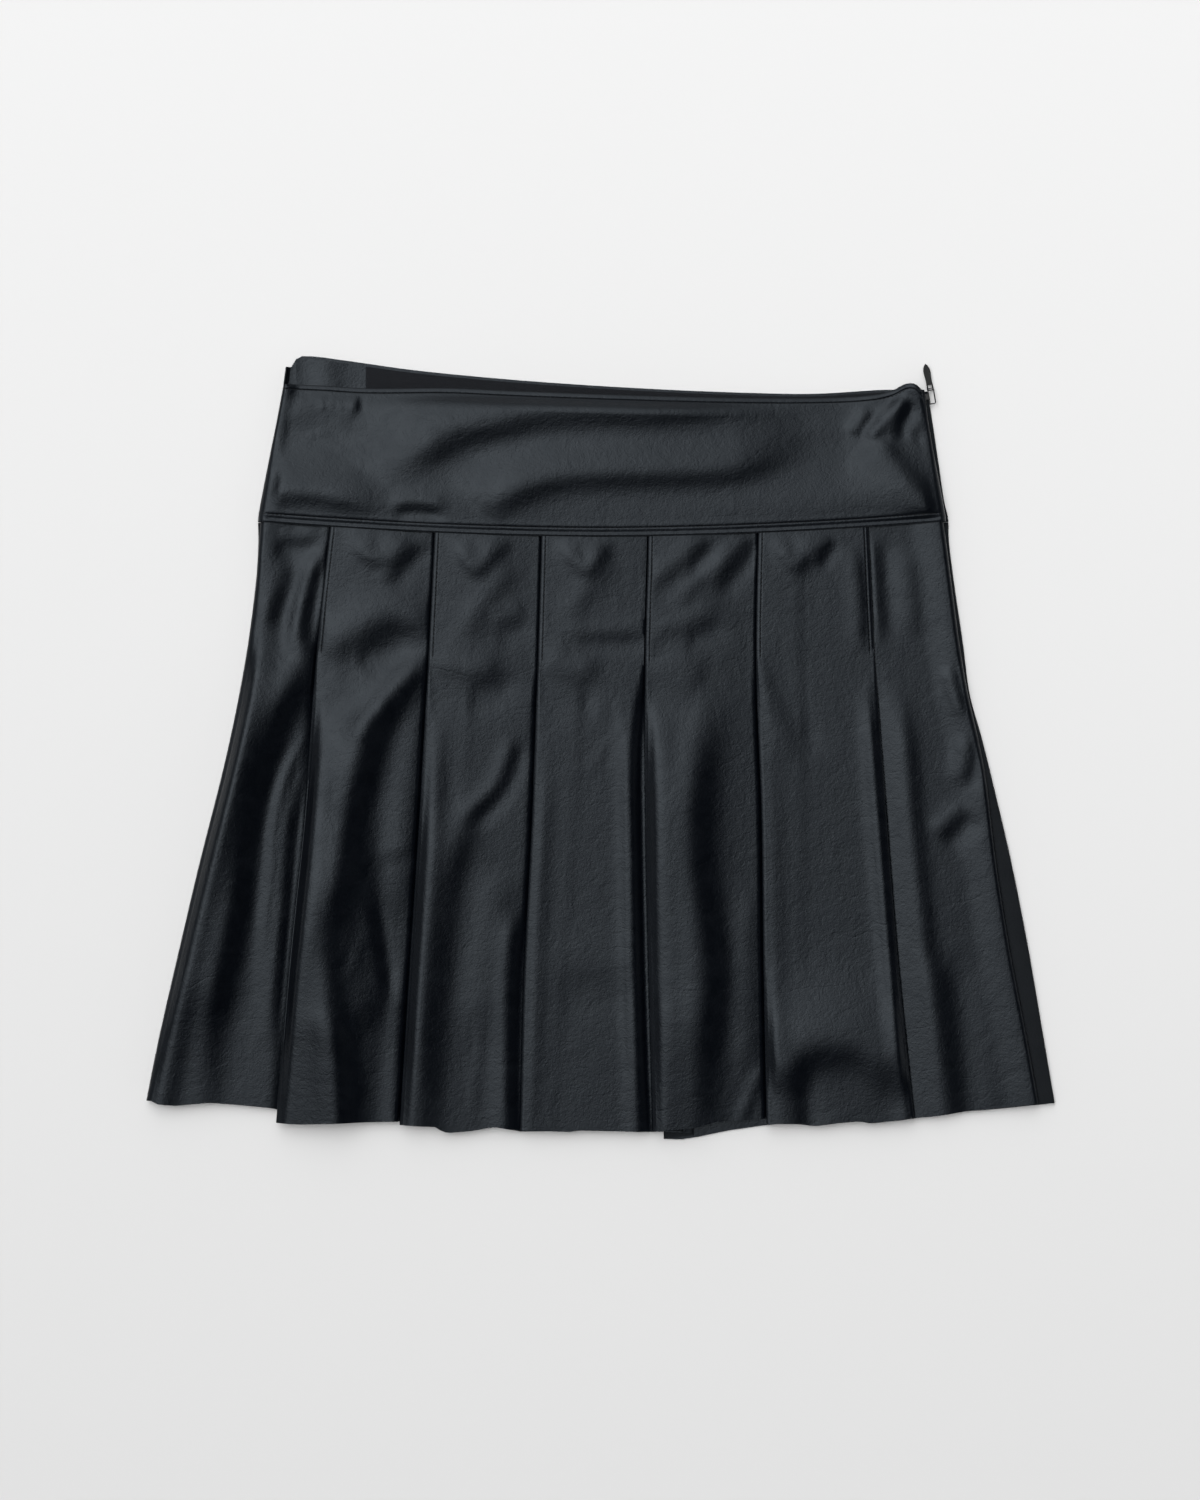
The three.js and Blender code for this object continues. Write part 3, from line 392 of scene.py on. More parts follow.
def fold_height(fold, x, y):
    """Height that one fold adds at each point."""
    ends = np.array(fold.path, float)
    order = np.arange(len(ends))
    fine = np.linspace(0, len(ends) - 1, PATH_STEPS)
    line_x = curve_through(order, ends[:, 0])(fine)
    line_y = curve_through(order, ends[:, 1])(fine)
    step_x, step_y = np.diff(line_x), np.diff(line_y)
    long = np.hypot(step_x, step_y)
    from_x = x[:, None] - line_x[:-1]
    from_y = y[:, None] - line_y[:-1]
    along = np.clip((from_x * step_x + from_y * step_y) / long**2, 0, 1)
    away = np.hypot(from_x - along * step_x, from_y - along * step_y)
    nearest = away.argmin(1)
    rows = np.arange(len(x))
    side = np.sign((from_y * step_x - from_x * step_y)[rows, nearest])
    near = away[rows, nearest] / fold.wide
    share = (nearest + along[rows, nearest]) / (PATH_STEPS - 1)
    fade = ease(0, 0.25, share) * ease(1, 0.75, share)
    if fold.kind == "ridge":
        return fold.high * fade * np.exp(-(near**2))
    if fold.kind == "bank":
        crest = side * near
        rise = 0.5 + 0.5 * np.tanh(BANK_STEEP * crest)
        return fold.high * fade * rise * np.exp(-((np.maximum(crest, 0) / BANK_RUN) ** 2))
    return fold.high * fade * side * near * np.exp((1 - near**2) / 2)


def relief(folds, panel, x, y):
    """All the folds together. Each one only shapes its own panel."""
    height = np.zeros_like(x)
    for fold in folds:
        path = np.array(fold.path, float)
        margin = (BANK_MARGIN if fold.kind == "bank" else FOLD_MARGIN) * fold.wide
        inside = (panel == fold.panel) & (x > path[:, 0].min() - margin) & (x < path[:, 0].max() + margin)
        inside &= (y > path[:, 1].min() - margin) & (y < path[:, 1].max() + margin)
        if inside.any():
            height[inside] += fold_height(fold, x[inside], y[inside])
    return height


tried = Fold(0, "bank", 5, 1.0, [(0, -20), (0, 20)])
tried_heights = fold_height(tried, np.array([-5.0, 5.0]), np.zeros(2))
print("a bank 1 mm high, 5 mm to its left and right:", tried_heights.round(2))

# %% Folds of the front
FRONT_FOLDS = [
    # Panel 0, at the left side.
    Fold(0, "flank", 5.5, 0.6, [(-191, 65), (-182, 86), (-173, 108)]),
    Fold(0, "ridge", 5, 1, [(-178, 50), (-168, 90), (-156, 122)]),
    Fold(0, "flank", 5, 0.75, [(-163, 44), (-168, 66), (-166, 88), (-159, 114)]),
    Fold(0, "flank", 5, 0.7, [(-186, 119), (-172, 117), (-158, 120)]),
    Fold(0, "ridge", 8, 2.0, [
        (-180, 100), (-206, 4), (-220, -53), (-234, -110), (-244, -161), (-262, -300)]),
    Fold(0, "bank", 9.5, 8.0, [
        (-225, -300), (-220, -172), (-214, -134), (-206, -94), (-201, -55), (-193, -16), (-181, 18),
        (-166, 44), (-150, 84)]),
    Fold(0, "ridge", 3, 1.1, [
        (-195, -155), (-192, -104), (-189, -74), (-186, -41), (-178, -12), (-163, 16)]),
    Fold(0, "flank", 4.5, 1.2, [(-188, -184), (-183, -132), (-179, -87), (-176, -47), (-169, -7)]),
    # Panel 1.
    Fold(1, "bank", 4, 2.0, [(-146, 124), (-138, 110), (-126, 104), (-114, 111), (-104, 124)]),
    Fold(1, "ridge", 4, 0.6, [(-130, 93), (-113, 109), (-96, 123)]),
    Fold(1, "flank", 4, 0.3, [(-122, 88), (-112, 105), (-103, 118)]),
    Fold(1, "flank", 11, 1.7, [(-163, 42), (-137, 58), (-117, 67), (-97, 57)]),
    Fold(1, "flank", 9, 0.6, [(-159, 33), (-143, 32), (-126, 36)]),
    Fold(1, "ridge", 7, 2, [(-144, 0), (-123, 26), (-97, 54)]),
    Fold(1, "bank", 10, 7.8, [
        (-152, -300), (-151, -182), (-150, -144), (-152, -106), (-144, -68), (-136, -25), (-122, 14),
        (-92, 56)]),
    Fold(1, "bank", 12, 5.6, [(-136, -330), (-131, -182), (-128, -144), (-133, -90), (-127, -30)]),
    Fold(1, "ridge", 9, 1.2, [(-118, -110), (-113, -41), (-103, 33)]),
    Fold(1, "flank", 4, 0.3, [(-127, -63), (-104, -60)]),
    Fold(1, "flank", 3.5, 0.7, [(-121, -151), (-126, -115), (-131, -81)]),
    Fold(1, "ridge", 2, 0.5, [(-146, -137), (-139, -118), (-134, -103)]),
    Fold(1, "ridge", 1.8, 0.4, [(-152, -128), (-146, -114), (-142, -103)]),
    Fold(1, "flank", 8, 1.6, [(-142, -260), (-143, -190), (-145, -144)]),
    Fold(1, "ridge", 2.5, 0.6, [(-148, -260), (-150, -190), (-151, -144)]),
    Fold(1, "ridge", 7, 1.6, [
        (-180, -280), (-174, -153), (-168, -108), (-163, -61), (-159, -16), (-155, 27)]),
    Fold(1, "ridge", 5, 1, [(-119, -260), (-117, -172), (-113, -115)]),
    # Panel 2.
    Fold(2, "bank", 4, 2.0, [(-88, 124), (-80, 107), (-71, 99), (-60, 108), (-46, 124)]),
    Fold(2, "ridge", 7, 0.8, [(-86, 58), (-66, 85), (-49, 109)]),
    Fold(2, "flank", 6, 0.5, [(-62, 67), (-41, 75)]),
    Fold(2, "flank", 9, 0.9, [(-104, 52), (-86, 40), (-66, 38), (-50, 50)]),
    Fold(2, "ridge", 6, 1.4, [(-107, -290), (-104, -172), (-101, -123), (-97, -74), (-94, -16), (-92, 33)]),
    Fold(2, "flank", 4, 0.8, [(-81, -47), (-57, -23), (-45, 10)]),
    Fold(2, "bank", 8, 3.6, [(-98, -300), (-94, -183), (-89, -123), (-85, -87), (-79, -58), (-62, -20)]),
    Fold(2, "ridge", 12, 1.2, [(-70, -172), (-64, -115), (-57, -64)]),
    Fold(2, "flank", 5, 1.5, [(-50, -270), (-50, -178), (-48, -121), (-44, -90)]),
    Fold(2, "ridge", 1.6, 0.35, [(-74, -215), (-70, -178), (-66, -150)]),
    # Panel 3.
    Fold(3, "bank", 4, 2.0, [(-28, 124), (-19, 107), (-8, 99), (1, 108), (8, 122)]),
    Fold(3, "ridge", 7, 0.6, [(-23, 70), (-9, 90), (8, 111)]),
    Fold(3, "flank", 5, 0.5, [(-26, 62), (3, 63), (34, 64)]),
    Fold(3, "flank", 9, 0.8, [(-40, 50), (-22, 38), (2, 36)]),
    Fold(3, "ridge", 5, 0.6, [(-41, -260), (-37, -157), (-36, -104), (-33, -47), (-30, 16)]),
    Fold(3, "ridge", 1.8, 0.35, [(5, -26), (10, 4), (12, 34)]),
    Fold(3, "ridge", 2, 0.3, [(-8, -18), (3, 0), (15, 16)]),
    Fold(3, "flank", 12, 0.35, [(-34, -138), (-6, -131), (25, -136)]),
    Fold(3, "flank", 4, 2.0, [(25, -270), (24, -183), (22, -123), (21, -65), (20, -6), (22, 33)]),
    # Panel 4.
    Fold(4, "flank", 6, 0.8, [(26, 86), (49, 104), (67, 122)]),
    Fold(4, "ridge", 4.5, 0.9, [(36, 80), (57, 98), (77, 117)]),
    Fold(4, "flank", 5, 0.7, [(63, 86), (77, 105), (88, 122)]),
    Fold(4, "flank", 6, 0.6, [(26, 62), (49, 66), (72, 76)]),
    Fold(4, "flank", 9, 0.5, [(26, 47), (41, 36), (60, 32)]),
    Fold(4, "ridge", 7, 1.0, [(38, -290), (38, -144), (36, -76), (34, -7), (31, 38)]),
    Fold(4, "bank", 11, 6.5, [
        (58, -300), (62, -180), (66, -134), (62, -92), (58, -58), (60, -15), (74, 40)]),
    Fold(4, "ridge", 8, 0.9, [(82, -201), (84, -132), (84, -70)]),
    Fold(4, "ridge", 2.5, 0.8, [(78, -218), (86, -196), (94, -179)]),
    # Panel 5.
    Fold(5, "bank", 4, 1.8, [(94, 124), (102, 108), (111, 101), (121, 110), (132, 124)]),
    Fold(5, "flank", 3, 0.6, [(123, 102), (128, 111), (134, 119)]),
    Fold(5, "flank", 4, 0.5, [(151, 50), (150, 84), (147, 118)]),
    Fold(5, "flank", 7, 0.6, [(116, -10), (103, 24), (91, 56)]),
    Fold(5, "ridge", 5, 0.3, [(102, -260), (101, -163), (100, -104), (99, -45), (97, 16)]),
    Fold(5, "bank", 12, 4.5, [(104, -206), (118, -182), (135, -176), (152, -182), (166, -206)]),
    Fold(5, "flank", 6, 0.9, [(114, -260), (113, -201), (114, -172)]),
    Fold(5, "ridge", 5, 1.6, [(179, -260), (170, -163), (164, -104), (159, -45), (155, 4), (152, 44)]),
    # Panel 6, at the zip.
    Fold(6, "flank", 4.5, 0.6, [(163, 56), (160, 90), (158, 123)]),
    Fold(6, "ridge", 8, 0.7, [(179, 61), (176, 90), (175, 115)]),
    Fold(6, "flank", 5, 0.9, [(206, -25), (211, -8), (213, 7)]),
    Fold(6, "flank", 5, 0.9, [(192, -54), (202, -45), (212, -34)]),
    Fold(6, "flank", 4, 0.8, [(210, 18), (205, 33), (200, 49)]),
    Fold(6, "flank", 7, 0.9, [(209, -260), (202, -167), (196, -110)]),
    Fold(6, "ridge", 6, 1.5, [(201, -270), (190, -163), (183, -104), (177, -45), (173, 4), (168, 40)]),
]
print(len(FRONT_FOLDS), "loose folds on the front")

# %% [markdown]
# ## One row across the pleated cloth
# A pleat has three layers: the panel that runs under, the return, and the next panel on top. One
# row across the whole width, folded at each pleat, makes them all from a single piece of cloth, as
# the real skirt is. Points crowd together at the folds and at the seam beside them.

# %% Pleat measures
PLEAT_DEPTH_TOP = 22.0
PLEAT_DEPTH_HEM = 16.5
PLEAT_LIFT = 0.5
PLEAT_LIFT_REACH = 14.0
LOOSE_REACH = 1.7
FOLD_ANGLES = np.radians([26, 52, 78, 104, 130, 156])
FINE_STEPS = np.array([0, 0.25, 0.5, 0.8, 1.1, 1.4, 1.7, 1.9, 2.1, 2.3, 2.5, 2.75, 3.2, 4.4, 6.2])
COARSE_STEPS = np.array([0, 0.5, 1.2, 2.3, 3.8])
MIDDLE_STEPS = 18
SEW_ROLL = 0.42
SEW_FURROW = 0.34
SEW_FROM_EDGE = 2.3
ROLL_WIDE = 1.9
FURROW_WIDE = 0.38
FOLD_CLEARANCE = {"under": 2.5, "before": -3.0, "after": 5.0}
OVER_LAYER = 0.75
DIVE_DEEP = 0.95
DIVE_SEWN = 0.4
DIVE_SHORT = 1.3
DIVE_REACH = (4.5, 3.0, 3.0, 5.5, 2.6, 7.0)
FALL_EARLY = (1, 0.7, 0.6, 0.25, 0.6, 0.3, 1)

print(len(FRONT_PLEATS), "pleats,", PLEAT_DEPTH_TOP, "mm deep at the top,", PLEAT_DEPTH_HEM, "at the hem")

# %% Side edges
LEFT_EDGE = {"back_top": 3.0, "front_end": 3.35, "radius": 3.0}
RIGHT_EDGE = {"front_end": 4.0, "radius": 2.4, "zip_turn": FOLD_REACH, "side_turn": 1.2}
ZIP_ALLOWANCE = 4.0
SIDE_ALLOWANCE = 15.0
ZIP_END_DOWN = 100.0

Side = namedtuple("Side", "pleats lines hems folds left right bed up lift falls_from falls_to "
                          "left_set left_top left_rim right_set right_top right_rim side_run top_down "
                          "lowest highest")
print("a side is described by", len(Side._fields), "values")

# %% Parts of a row
def sewn_seam(from_edge):
    """Height beside a stitched edge: a small roll, then the furrow that the stitches pull in."""
    roll = SEW_ROLL * ease(ROLL_WIDE, 0, from_edge)
    return -roll - SEW_FURROW * np.exp(-(((from_edge - SEW_FROM_EDGE) / FURROW_WIDE) ** 2))


def panel_places(start, end, fine_start, fine_end):
    """Places across a panel, crowded at an end that is a fold."""
    head = FINE_STEPS if fine_start else COARSE_STEPS
    tail = FINE_STEPS if fine_end else COARSE_STEPS
    middle = np.linspace(start + head[-1], end - tail[-1], MIDDLE_STEPS + 2)[1:-1]
    return np.concatenate([start + head, middle, end - tail[::-1]])


def fold_arc(edge, reach, from_height, to_height, way):
    """Points round a fold whose outermost line is the edge."""
    x = edge - way * reach * (1 - np.sin(FOLD_ANGLES))
    return x, mix(from_height, to_height, (1 - np.cos(FOLD_ANGLES)) / 2)


print("a panel 60 mm wide has", len(panel_places(0, 60, True, False)), "places")

# %% Pleated rows
def pleated_row(side, down):
    """One row: x, height, panel, share of the way along the panel, how far it may lift, and how low."""
    depth = mix(PLEAT_DEPTH_TOP, PLEAT_DEPTH_HEM, ease(RELEASE_DOWN, SKIRT_LENGTH, down))
    free = ease(RELEASE_DOWN, RELEASE_DOWN + 30, down)
    sewn = ease(RELEASE_DOWN + 2, RELEASE_DOWN - 2, down)
    lift = side.lift * PLEAT_LIFT * ease(RELEASE_DOWN, SKIRT_LENGTH * 0.6, down)
    reach = mix(FOLD_REACH, LOOSE_REACH if side.lift else FOLD_REACH, free)
    edges = [float(line(down)) for line in side.lines]
    left, right = float(side.left(down)), float(side.right(down))
    level = [side.bed + side.up * n * LAYER for n in range(3)]
    columns = []

    def add(x, z, panel, share, loose=0.0, lowest=0.0):
        """More points at the end of the row."""
        x, z, share, loose, lowest = np.broadcast_arrays(x, z, share, loose, lowest)
        columns.append(np.stack([x, z, np.full(x.shape, panel), share, loose, lowest]).reshape(6, -1))

    rim_x, rim_z = side.left_rim(down)
    add(left + rim_x, rim_z, 0, 0.0)
    for panel in range(len(edges) + 1):
        before = side.pleats[panel - 1] if panel else None
        after = side.pleats[panel] if panel < len(edges) else None
        over_start = before is not None and before.over == "right"
        over_end = after is not None and after.over == "left"
        start = left + side.left_set if before is None else edges[panel - 1] + (reach if over_start else 0)
        end = right - side.right_set(down) if after is None else edges[panel] - (reach if over_end else 0)
        x = panel_places(start, end, over_start, over_end)
        from_start, to_end = x - start, end - x
        falls_from = side.falls_from(end - start, depth)
        falls_to = side.falls_to(end - start, depth)
        early = FALL_EARLY[panel] if side.lift and over_start else 1
        high = np.zeros_like(x)
        if over_start:
            high = np.ones_like(x) if over_end else 1 - early * soft_ramp(falls_from, falls_to, from_start)
        if over_end:
            high = np.maximum(high, ease(depth + 12, depth + 2, to_end))
        z = side.bed + side.up * 2 * LAYER * high
        if over_start:
            z = z + side.up * lift * ease(PLEAT_LIFT_REACH, 0, from_start)
            z = z + side.up * sewn * sewn_seam(x - edges[panel - 1])
        if over_end:
            z = z + side.up * lift * ease(PLEAT_LIFT_REACH, 0, to_end)
            z = z + side.up * sewn * sewn_seam(edges[panel] - x)
        if side.lift and after and after.over == "right":
            deep = 2 * LAYER * (1 - early) + mix(DIVE_SEWN, DIVE_DEEP, free)
            z = z - deep * ease(mix(DIVE_SHORT, DIVE_REACH[panel], free), 0, to_end)
        if side.lift and before and before.over == "left":
            z = z - DIVE_DEEP * free * ease(DIVE_REACH[panel - 1], 0, from_start)
        if before is None:
            z = mix(side.left_top, z, ease(0, side.side_run, from_start))
        if after is None:
            z = mix(side.right_top(down), z, ease(0, side.side_run, to_end))
        goes_under = FOLD_CLEARANCE["under"]
        start_range = (0, goes_under) if before and before.over == "left" else (
            FOLD_CLEARANCE["before"], FOLD_CLEARANCE["after"])
        end_range = (0, goes_under) if after and after.over == "right" else (
            FOLD_CLEARANCE["before"], FOLD_CLEARANCE["after"])
        loose = ease(*start_range, from_start) * ease(*end_range, to_end)
        lowest = np.full_like(x, side.lowest)
        if side.lift and over_start:
            lowest = mix(level[1] + OVER_LAYER, lowest, ease(depth + 1, depth + 6, from_start))
        add(x, z, panel, from_start / (end - start), loose, lowest)
        if after is None:
            break
        top = level[2] + side.up * lift
        if after.over == "right":
            inner = edges[panel] + depth
            add(inner - FOLD_REACH, level[0], panel, 1.2)
            arc_x, arc_z = fold_arc(inner, FOLD_REACH, level[0], level[1], 1)
            add(arc_x, arc_z, panel, 1.5)
            add(inner - FOLD_REACH, level[1], panel, 1.5)
            add(edges[panel] + reach, level[1], panel, 1.99)
            arc_x, arc_z = fold_arc(edges[panel], reach, level[1], top, -1)
            add(arc_x, arc_z, panel, 1.999)
        else:
            inner = edges[panel] - depth
            arc_x, arc_z = fold_arc(edges[panel], reach, top, level[1], 1)
            add(arc_x, arc_z, panel, 1.001)
            add(edges[panel] - reach, level[1], panel, 1.01)
            add(inner + FOLD_REACH, level[1], panel, 1.5)
            arc_x, arc_z = fold_arc(inner, FOLD_REACH, level[1], level[0], -1)
            add(arc_x, arc_z, panel, 1.5)
            add(inner + FOLD_REACH, level[0], panel, 1.7)
    rim_x, rim_z = side.right_rim(down)
    add(right + rim_x, rim_z, len(edges), 1.0)
    return np.concatenate(columns, axis=1)

# %% [markdown]
# The rows are stacked from the yoke to the hem. Every column of points keeps its own straight way
# down, so the hem's table moves whole columns and the pleats stay folded. The loose folds are added
# last, and never push the cloth into the layer below it.

# %% Rows stacked into a sheet
SETTLE = 0.5
FOLDS_BEGIN = (-2, 6)
LOOSE_ENOUGH = 0.3
SEWN_ROW_STEP = 2.7
RELEASE_ROW_STEP = 1.4
FREE_ROWS = 82


def pleated_sheet(side, downs):
    """Middle points of the whole pleated piece, a row for each distance down, in millimetres."""
    rows = np.stack([pleated_row(side, down) for down in downs])
    x, z, panel, share, loose, lowest = (rows[:, k, :] for k in range(6))
    top_y = yoke_edge_y(x[0]) - side.top_down
    hem_y = hem_heights(side.hems, panel[0], share[0])
    along = ((np.array(downs) - side.top_down) / (SKIRT_LENGTH - side.top_down))[:, None]
    y = mix(top_y, hem_y, along)
    lifts = relief(side.folds, panel.ravel(), x.ravel(), y.ravel()).reshape(x.shape)
    lifted = z + lifts * loose * ease(*FOLDS_BEGIN, np.array(downs))[:, None]
    settled = lowest + SETTLE * np.logaddexp(0, (lifted - lowest) / SETTLE)
    z = np.where(loose > 0, mix(z, np.minimum(settled, side.highest), ease(0, LOOSE_ENOUGH, loose)), z)
    return np.stack([x, y, z], axis=-1)


def rim_arc(radius, end_height, way, count=5):
    """A rounded side edge: from its end, level with the other half, up to the panel."""
    angle = np.linspace(0, np.pi / 2, count, endpoint=False)
    return way * radius * (1 - np.cos(angle)), end_height + radius * np.sin(angle)


FRONT_BED = 4.45
front_side = Side(
    pleats=FRONT_PLEATS, lines=front_lines, hems=FRONT_HEMS, folds=FRONT_FOLDS,
    left=left_at, right=right_at, bed=FRONT_BED, up=1, lift=1,
    falls_from=lambda width, depth: depth + 2,
    falls_to=lambda width, depth: width - 2,
    left_set=LEFT_EDGE["radius"],
    left_top=LEFT_EDGE["front_end"] + LEFT_EDGE["radius"],
    left_rim=lambda down: rim_arc(LEFT_EDGE["radius"], LEFT_EDGE["front_end"], 1),
    right_set=lambda down: RIGHT_EDGE["radius"],
    right_top=lambda down: RIGHT_EDGE["front_end"] + RIGHT_EDGE["radius"],
    right_rim=lambda down: [
        part[::-1] for part in rim_arc(RIGHT_EDGE["radius"], RIGHT_EDGE["front_end"], -1)],
    side_run=18, top_down=-YOKE_LAP, lowest=3.4, highest=20.0,
)
FRONT_DOWNS = np.concatenate([
    np.arange(-YOKE_LAP, RELEASE_DOWN - 6, SEWN_ROW_STEP),
    np.arange(RELEASE_DOWN - 5, RELEASE_DOWN + 14, RELEASE_ROW_STEP),
    np.linspace(RELEASE_DOWN + 15, SKIRT_LENGTH, FREE_ROWS),
])
front_sheet = pleated_sheet(front_side, FRONT_DOWNS)
print("front grid", front_sheet.shape[:2], "highest", round(float(front_sheet[..., 2].max()), 1), "mm")

# %% [markdown]
# ## From a sheet of points to a wall of cloth
# A single surface has no thickness, and its raw edges would be invisible. So each sheet becomes a
# closed shell: every point moved half the cloth's thickness to both sides, and a narrow rim all
# round. The face has one finish and the inside another, because this leather has a knitted back.

# %% Shell maker
SHARP_ANGLE = np.radians(50)


def across_steps(points):
    """Direction from column to column, taken from three points at the two ends."""
    steps = np.empty_like(points)
    steps[:, 1:-1] = points[:, 2:] - points[:, :-2]
    steps[:, 0] = -3 * points[:, 0] + 4 * points[:, 1] - points[:, 2]
    steps[:, -1] = 3 * points[:, -1] - 4 * points[:, -2] + points[:, -3]
    return steps


def shell_faces(rows, columns):
    """Quads of the outer side, the inner side and the rim of a grid shell."""
    number = np.arange(rows * columns).reshape(rows, columns)
    inner = number + rows * columns

    def quads(a, b, c, d):
        """Four grids of corners as a list of quads."""
        return np.stack([a.ravel(), b.ravel(), c.ravel(), d.ravel()], axis=-1)

    outside = quads(number[:-1, :-1], number[1:, :-1], number[1:, 1:], number[:-1, 1:])
    inside = quads(inner[:-1, :-1], inner[:-1, 1:], inner[1:, 1:], inner[1:, :-1])
    rims = [
        quads(number[:-1, 0], inner[:-1, 0], inner[1:, 0], number[1:, 0]),
        quads(number[:-1, -1], number[1:, -1], inner[1:, -1], inner[:-1, -1]),
        quads(number[0, :-1], number[0, 1:], inner[0, 1:], inner[0, :-1]),
        quads(number[-1, :-1], inner[-1, :-1], inner[-1, 1:], number[-1, 1:]),
    ]
    return outside, inside, np.concatenate(rims)


print("a grid of 3 x 3 points gives", sum(len(part) for part in shell_faces(3, 3)), "quads")

# %% Objects from points
def mesh_object(name, vertices, faces, materials, finish=None):
    """An object at the origin, from points in metres, smooth but for its sharp edges."""
    mesh = bpy.data.meshes.new(name)
    mesh.from_pydata(vertices.tolist(), [], faces.tolist())
    for material in materials:
        mesh.materials.append(material)
    if finish is not None:
        mesh.polygons.foreach_set("material_index", finish.astype(np.int32))
    mesh.polygons.foreach_set("use_smooth", np.ones(len(mesh.polygons), bool))
    mesh.set_sharp_from_angle(angle=SHARP_ANGLE)
    mesh.update()
    made = bpy.data.objects.new(name, mesh)
    scene.collection.objects.link(made)
    return made


def cloth_shell(name, points, face_material, inside_material, thickness=CLOTH):
    """A wall of cloth round a grid of middle points given in millimetres."""
    rows, columns = points.shape[:2]
    down = np.gradient(points, axis=0)
    normal = np.cross(down, across_steps(points))
    normal *= thickness / 2 / np.linalg.norm(normal, axis=-1, keepdims=True)
    vertices = np.concatenate([(points + normal).reshape(-1, 3), (points - normal).reshape(-1, 3)])
    outside, inside, rims = shell_faces(rows, columns)
    finish = np.concatenate([np.zeros(len(outside)), np.ones(len(inside)), np.ones(len(rims))])
    made = mesh_object(
        name, vertices * MM, np.concatenate([outside, inside, rims]),
        [face_material, inside_material], finish)
    print(f"{name}: {len(made.data.polygons) * 2} triangles")
    return made

# %% [markdown]
# ## Leather
# Imitation leather is a thin coat on a knit. The coat is nearly black and slightly blue, with a
# pressed grain too fine to see from a step away, soft mottling where it was stretched, and hairline
# creases. These three are node groups, because the facing and the inside use them too. Each gives
# only a height or a mask, and every material places them with its own sizes.

# %% Node groups
def new_group(name, inputs, outputs):
    """An empty shader node group with named inputs and outputs."""
    group = bpy.data.node_groups.new(name, "ShaderNodeTree")
    for socket, kind, value in inputs:
        made = group.interface.new_socket(socket, in_out="INPUT", socket_type=kind)
        if value is not None:
            made.default_value = value
    for socket, kind in outputs:
        group.interface.new_socket(socket, in_out="OUTPUT", socket_type=kind)
    return group, add_node(group, "NodeGroupInput"), add_node(group, "NodeGroupOutput")


grain, grain_in, grain_out = new_group(
    "leather grain",
    [("Vector", "NodeSocketVector", None), ("Cells per metre", "NodeSocketFloat", 1100.0)],
    [("Height", "NodeSocketFloat")])
grain_cells = add_node(grain, "ShaderNodeTexVoronoi", {"Randomness": 0.9}, feature="SMOOTH_F1")
grain_noise = add_node(grain, "ShaderNodeTexNoise", {"Scale": 420.0, "Detail": 3.0})
grain_sum = add_node(grain, "ShaderNodeMath", {2: 0.0}, operation="MULTIPLY_ADD")
wire(grain, (
    (grain_in, "Vector", grain_cells, "Vector"),
    (grain_in, "Cells per metre", grain_cells, "Scale"),
    (grain_in, "Vector", grain_noise, "Vector"),
    (grain_cells, "Distance", grain_sum, 0),
    (grain_noise, "Fac", grain_sum, 1),
    (grain_sum, 0, grain_out, "Height"),
))
print("grain:", len(grain.nodes), "nodes")

# %% Mottling
mottle, mottle_in, mottle_out = new_group(
    "soft mottling",
    [("Vector", "NodeSocketVector", None), ("Patches per metre", "NodeSocketFloat", 90.0)],
    [("Mask", "NodeSocketFloat"), ("Height", "NodeSocketFloat")])
mottle_noise = add_node(mottle, "ShaderNodeTexNoise", {"Detail": 4.0, "Roughness": 0.6, "Distortion": 0.6})
mottle_fine = add_node(mottle, "ShaderNodeTexNoise", {"Scale": 520.0, "Detail": 2.0, "Distortion": 0.9})
mottle_sum = add_node(mottle, "ShaderNodeMath", {1: 0.5}, operation="MULTIPLY_ADD")
mottle_mask = add_node(mottle, "ShaderNodeMapRange", {"From Min": 0.32, "From Max": 0.68})
wire(mottle, (
    (mottle_in, "Vector", mottle_noise, "Vector"),
    (mottle_in, "Patches per metre", mottle_noise, "Scale"),
    (mottle_noise, "Fac", mottle_mask, "Value"),
    (mottle_mask, "Result", mottle_out, "Mask"),
    (mottle_in, "Vector", mottle_fine, "Vector"),
    (mottle_fine, "Fac", mottle_sum, 0),
    (mottle_noise, "Fac", mottle_sum, 2),
    (mottle_sum, 0, mottle_out, "Height"),
))
print("mottling:", len(mottle.nodes), "nodes")

# %% Hairline creases
hairlines, hairlines_in, hairlines_out = new_group(
    "hairline creases",
    [("Vector", "NodeSocketVector", None), ("Creases per metre", "NodeSocketFloat", 60.0)],
    [("Height", "NodeSocketFloat")])
hair_stretch = add_node(hairlines, "ShaderNodeMapping", {
    "Scale": (0.35, 1.0, 1.0), "Rotation": (0.0, 0.0, 0.14)})
hair_cells = add_node(hairlines, "ShaderNodeTexVoronoi", feature="DISTANCE_TO_EDGE")
hair_warp = add_node(hairlines, "ShaderNodeTexNoise", {"Scale": 40.0, "Detail": 3.0})
hair_push = add_node(hairlines, "ShaderNodeVectorMath", {"Scale": 0.02}, operation="SCALE")
hair_add = add_node(hairlines, "ShaderNodeVectorMath", operation="ADD")
hair_line = add_node(hairlines, "ShaderNodeMapRange", {"From Max": 0.05}, interpolation_type="SMOOTHSTEP")
hair_where = add_node(hairlines, "ShaderNodeTexNoise", {"Scale": 18.0, "Detail": 1.0})
hair_only = add_node(hairlines, "ShaderNodeMapRange", {
    "From Min": 0.5, "From Max": 0.66, "To Min": 1.0, "To Max": 0.0})
hair_keep = add_node(hairlines, "ShaderNodeMath", operation="MAXIMUM")
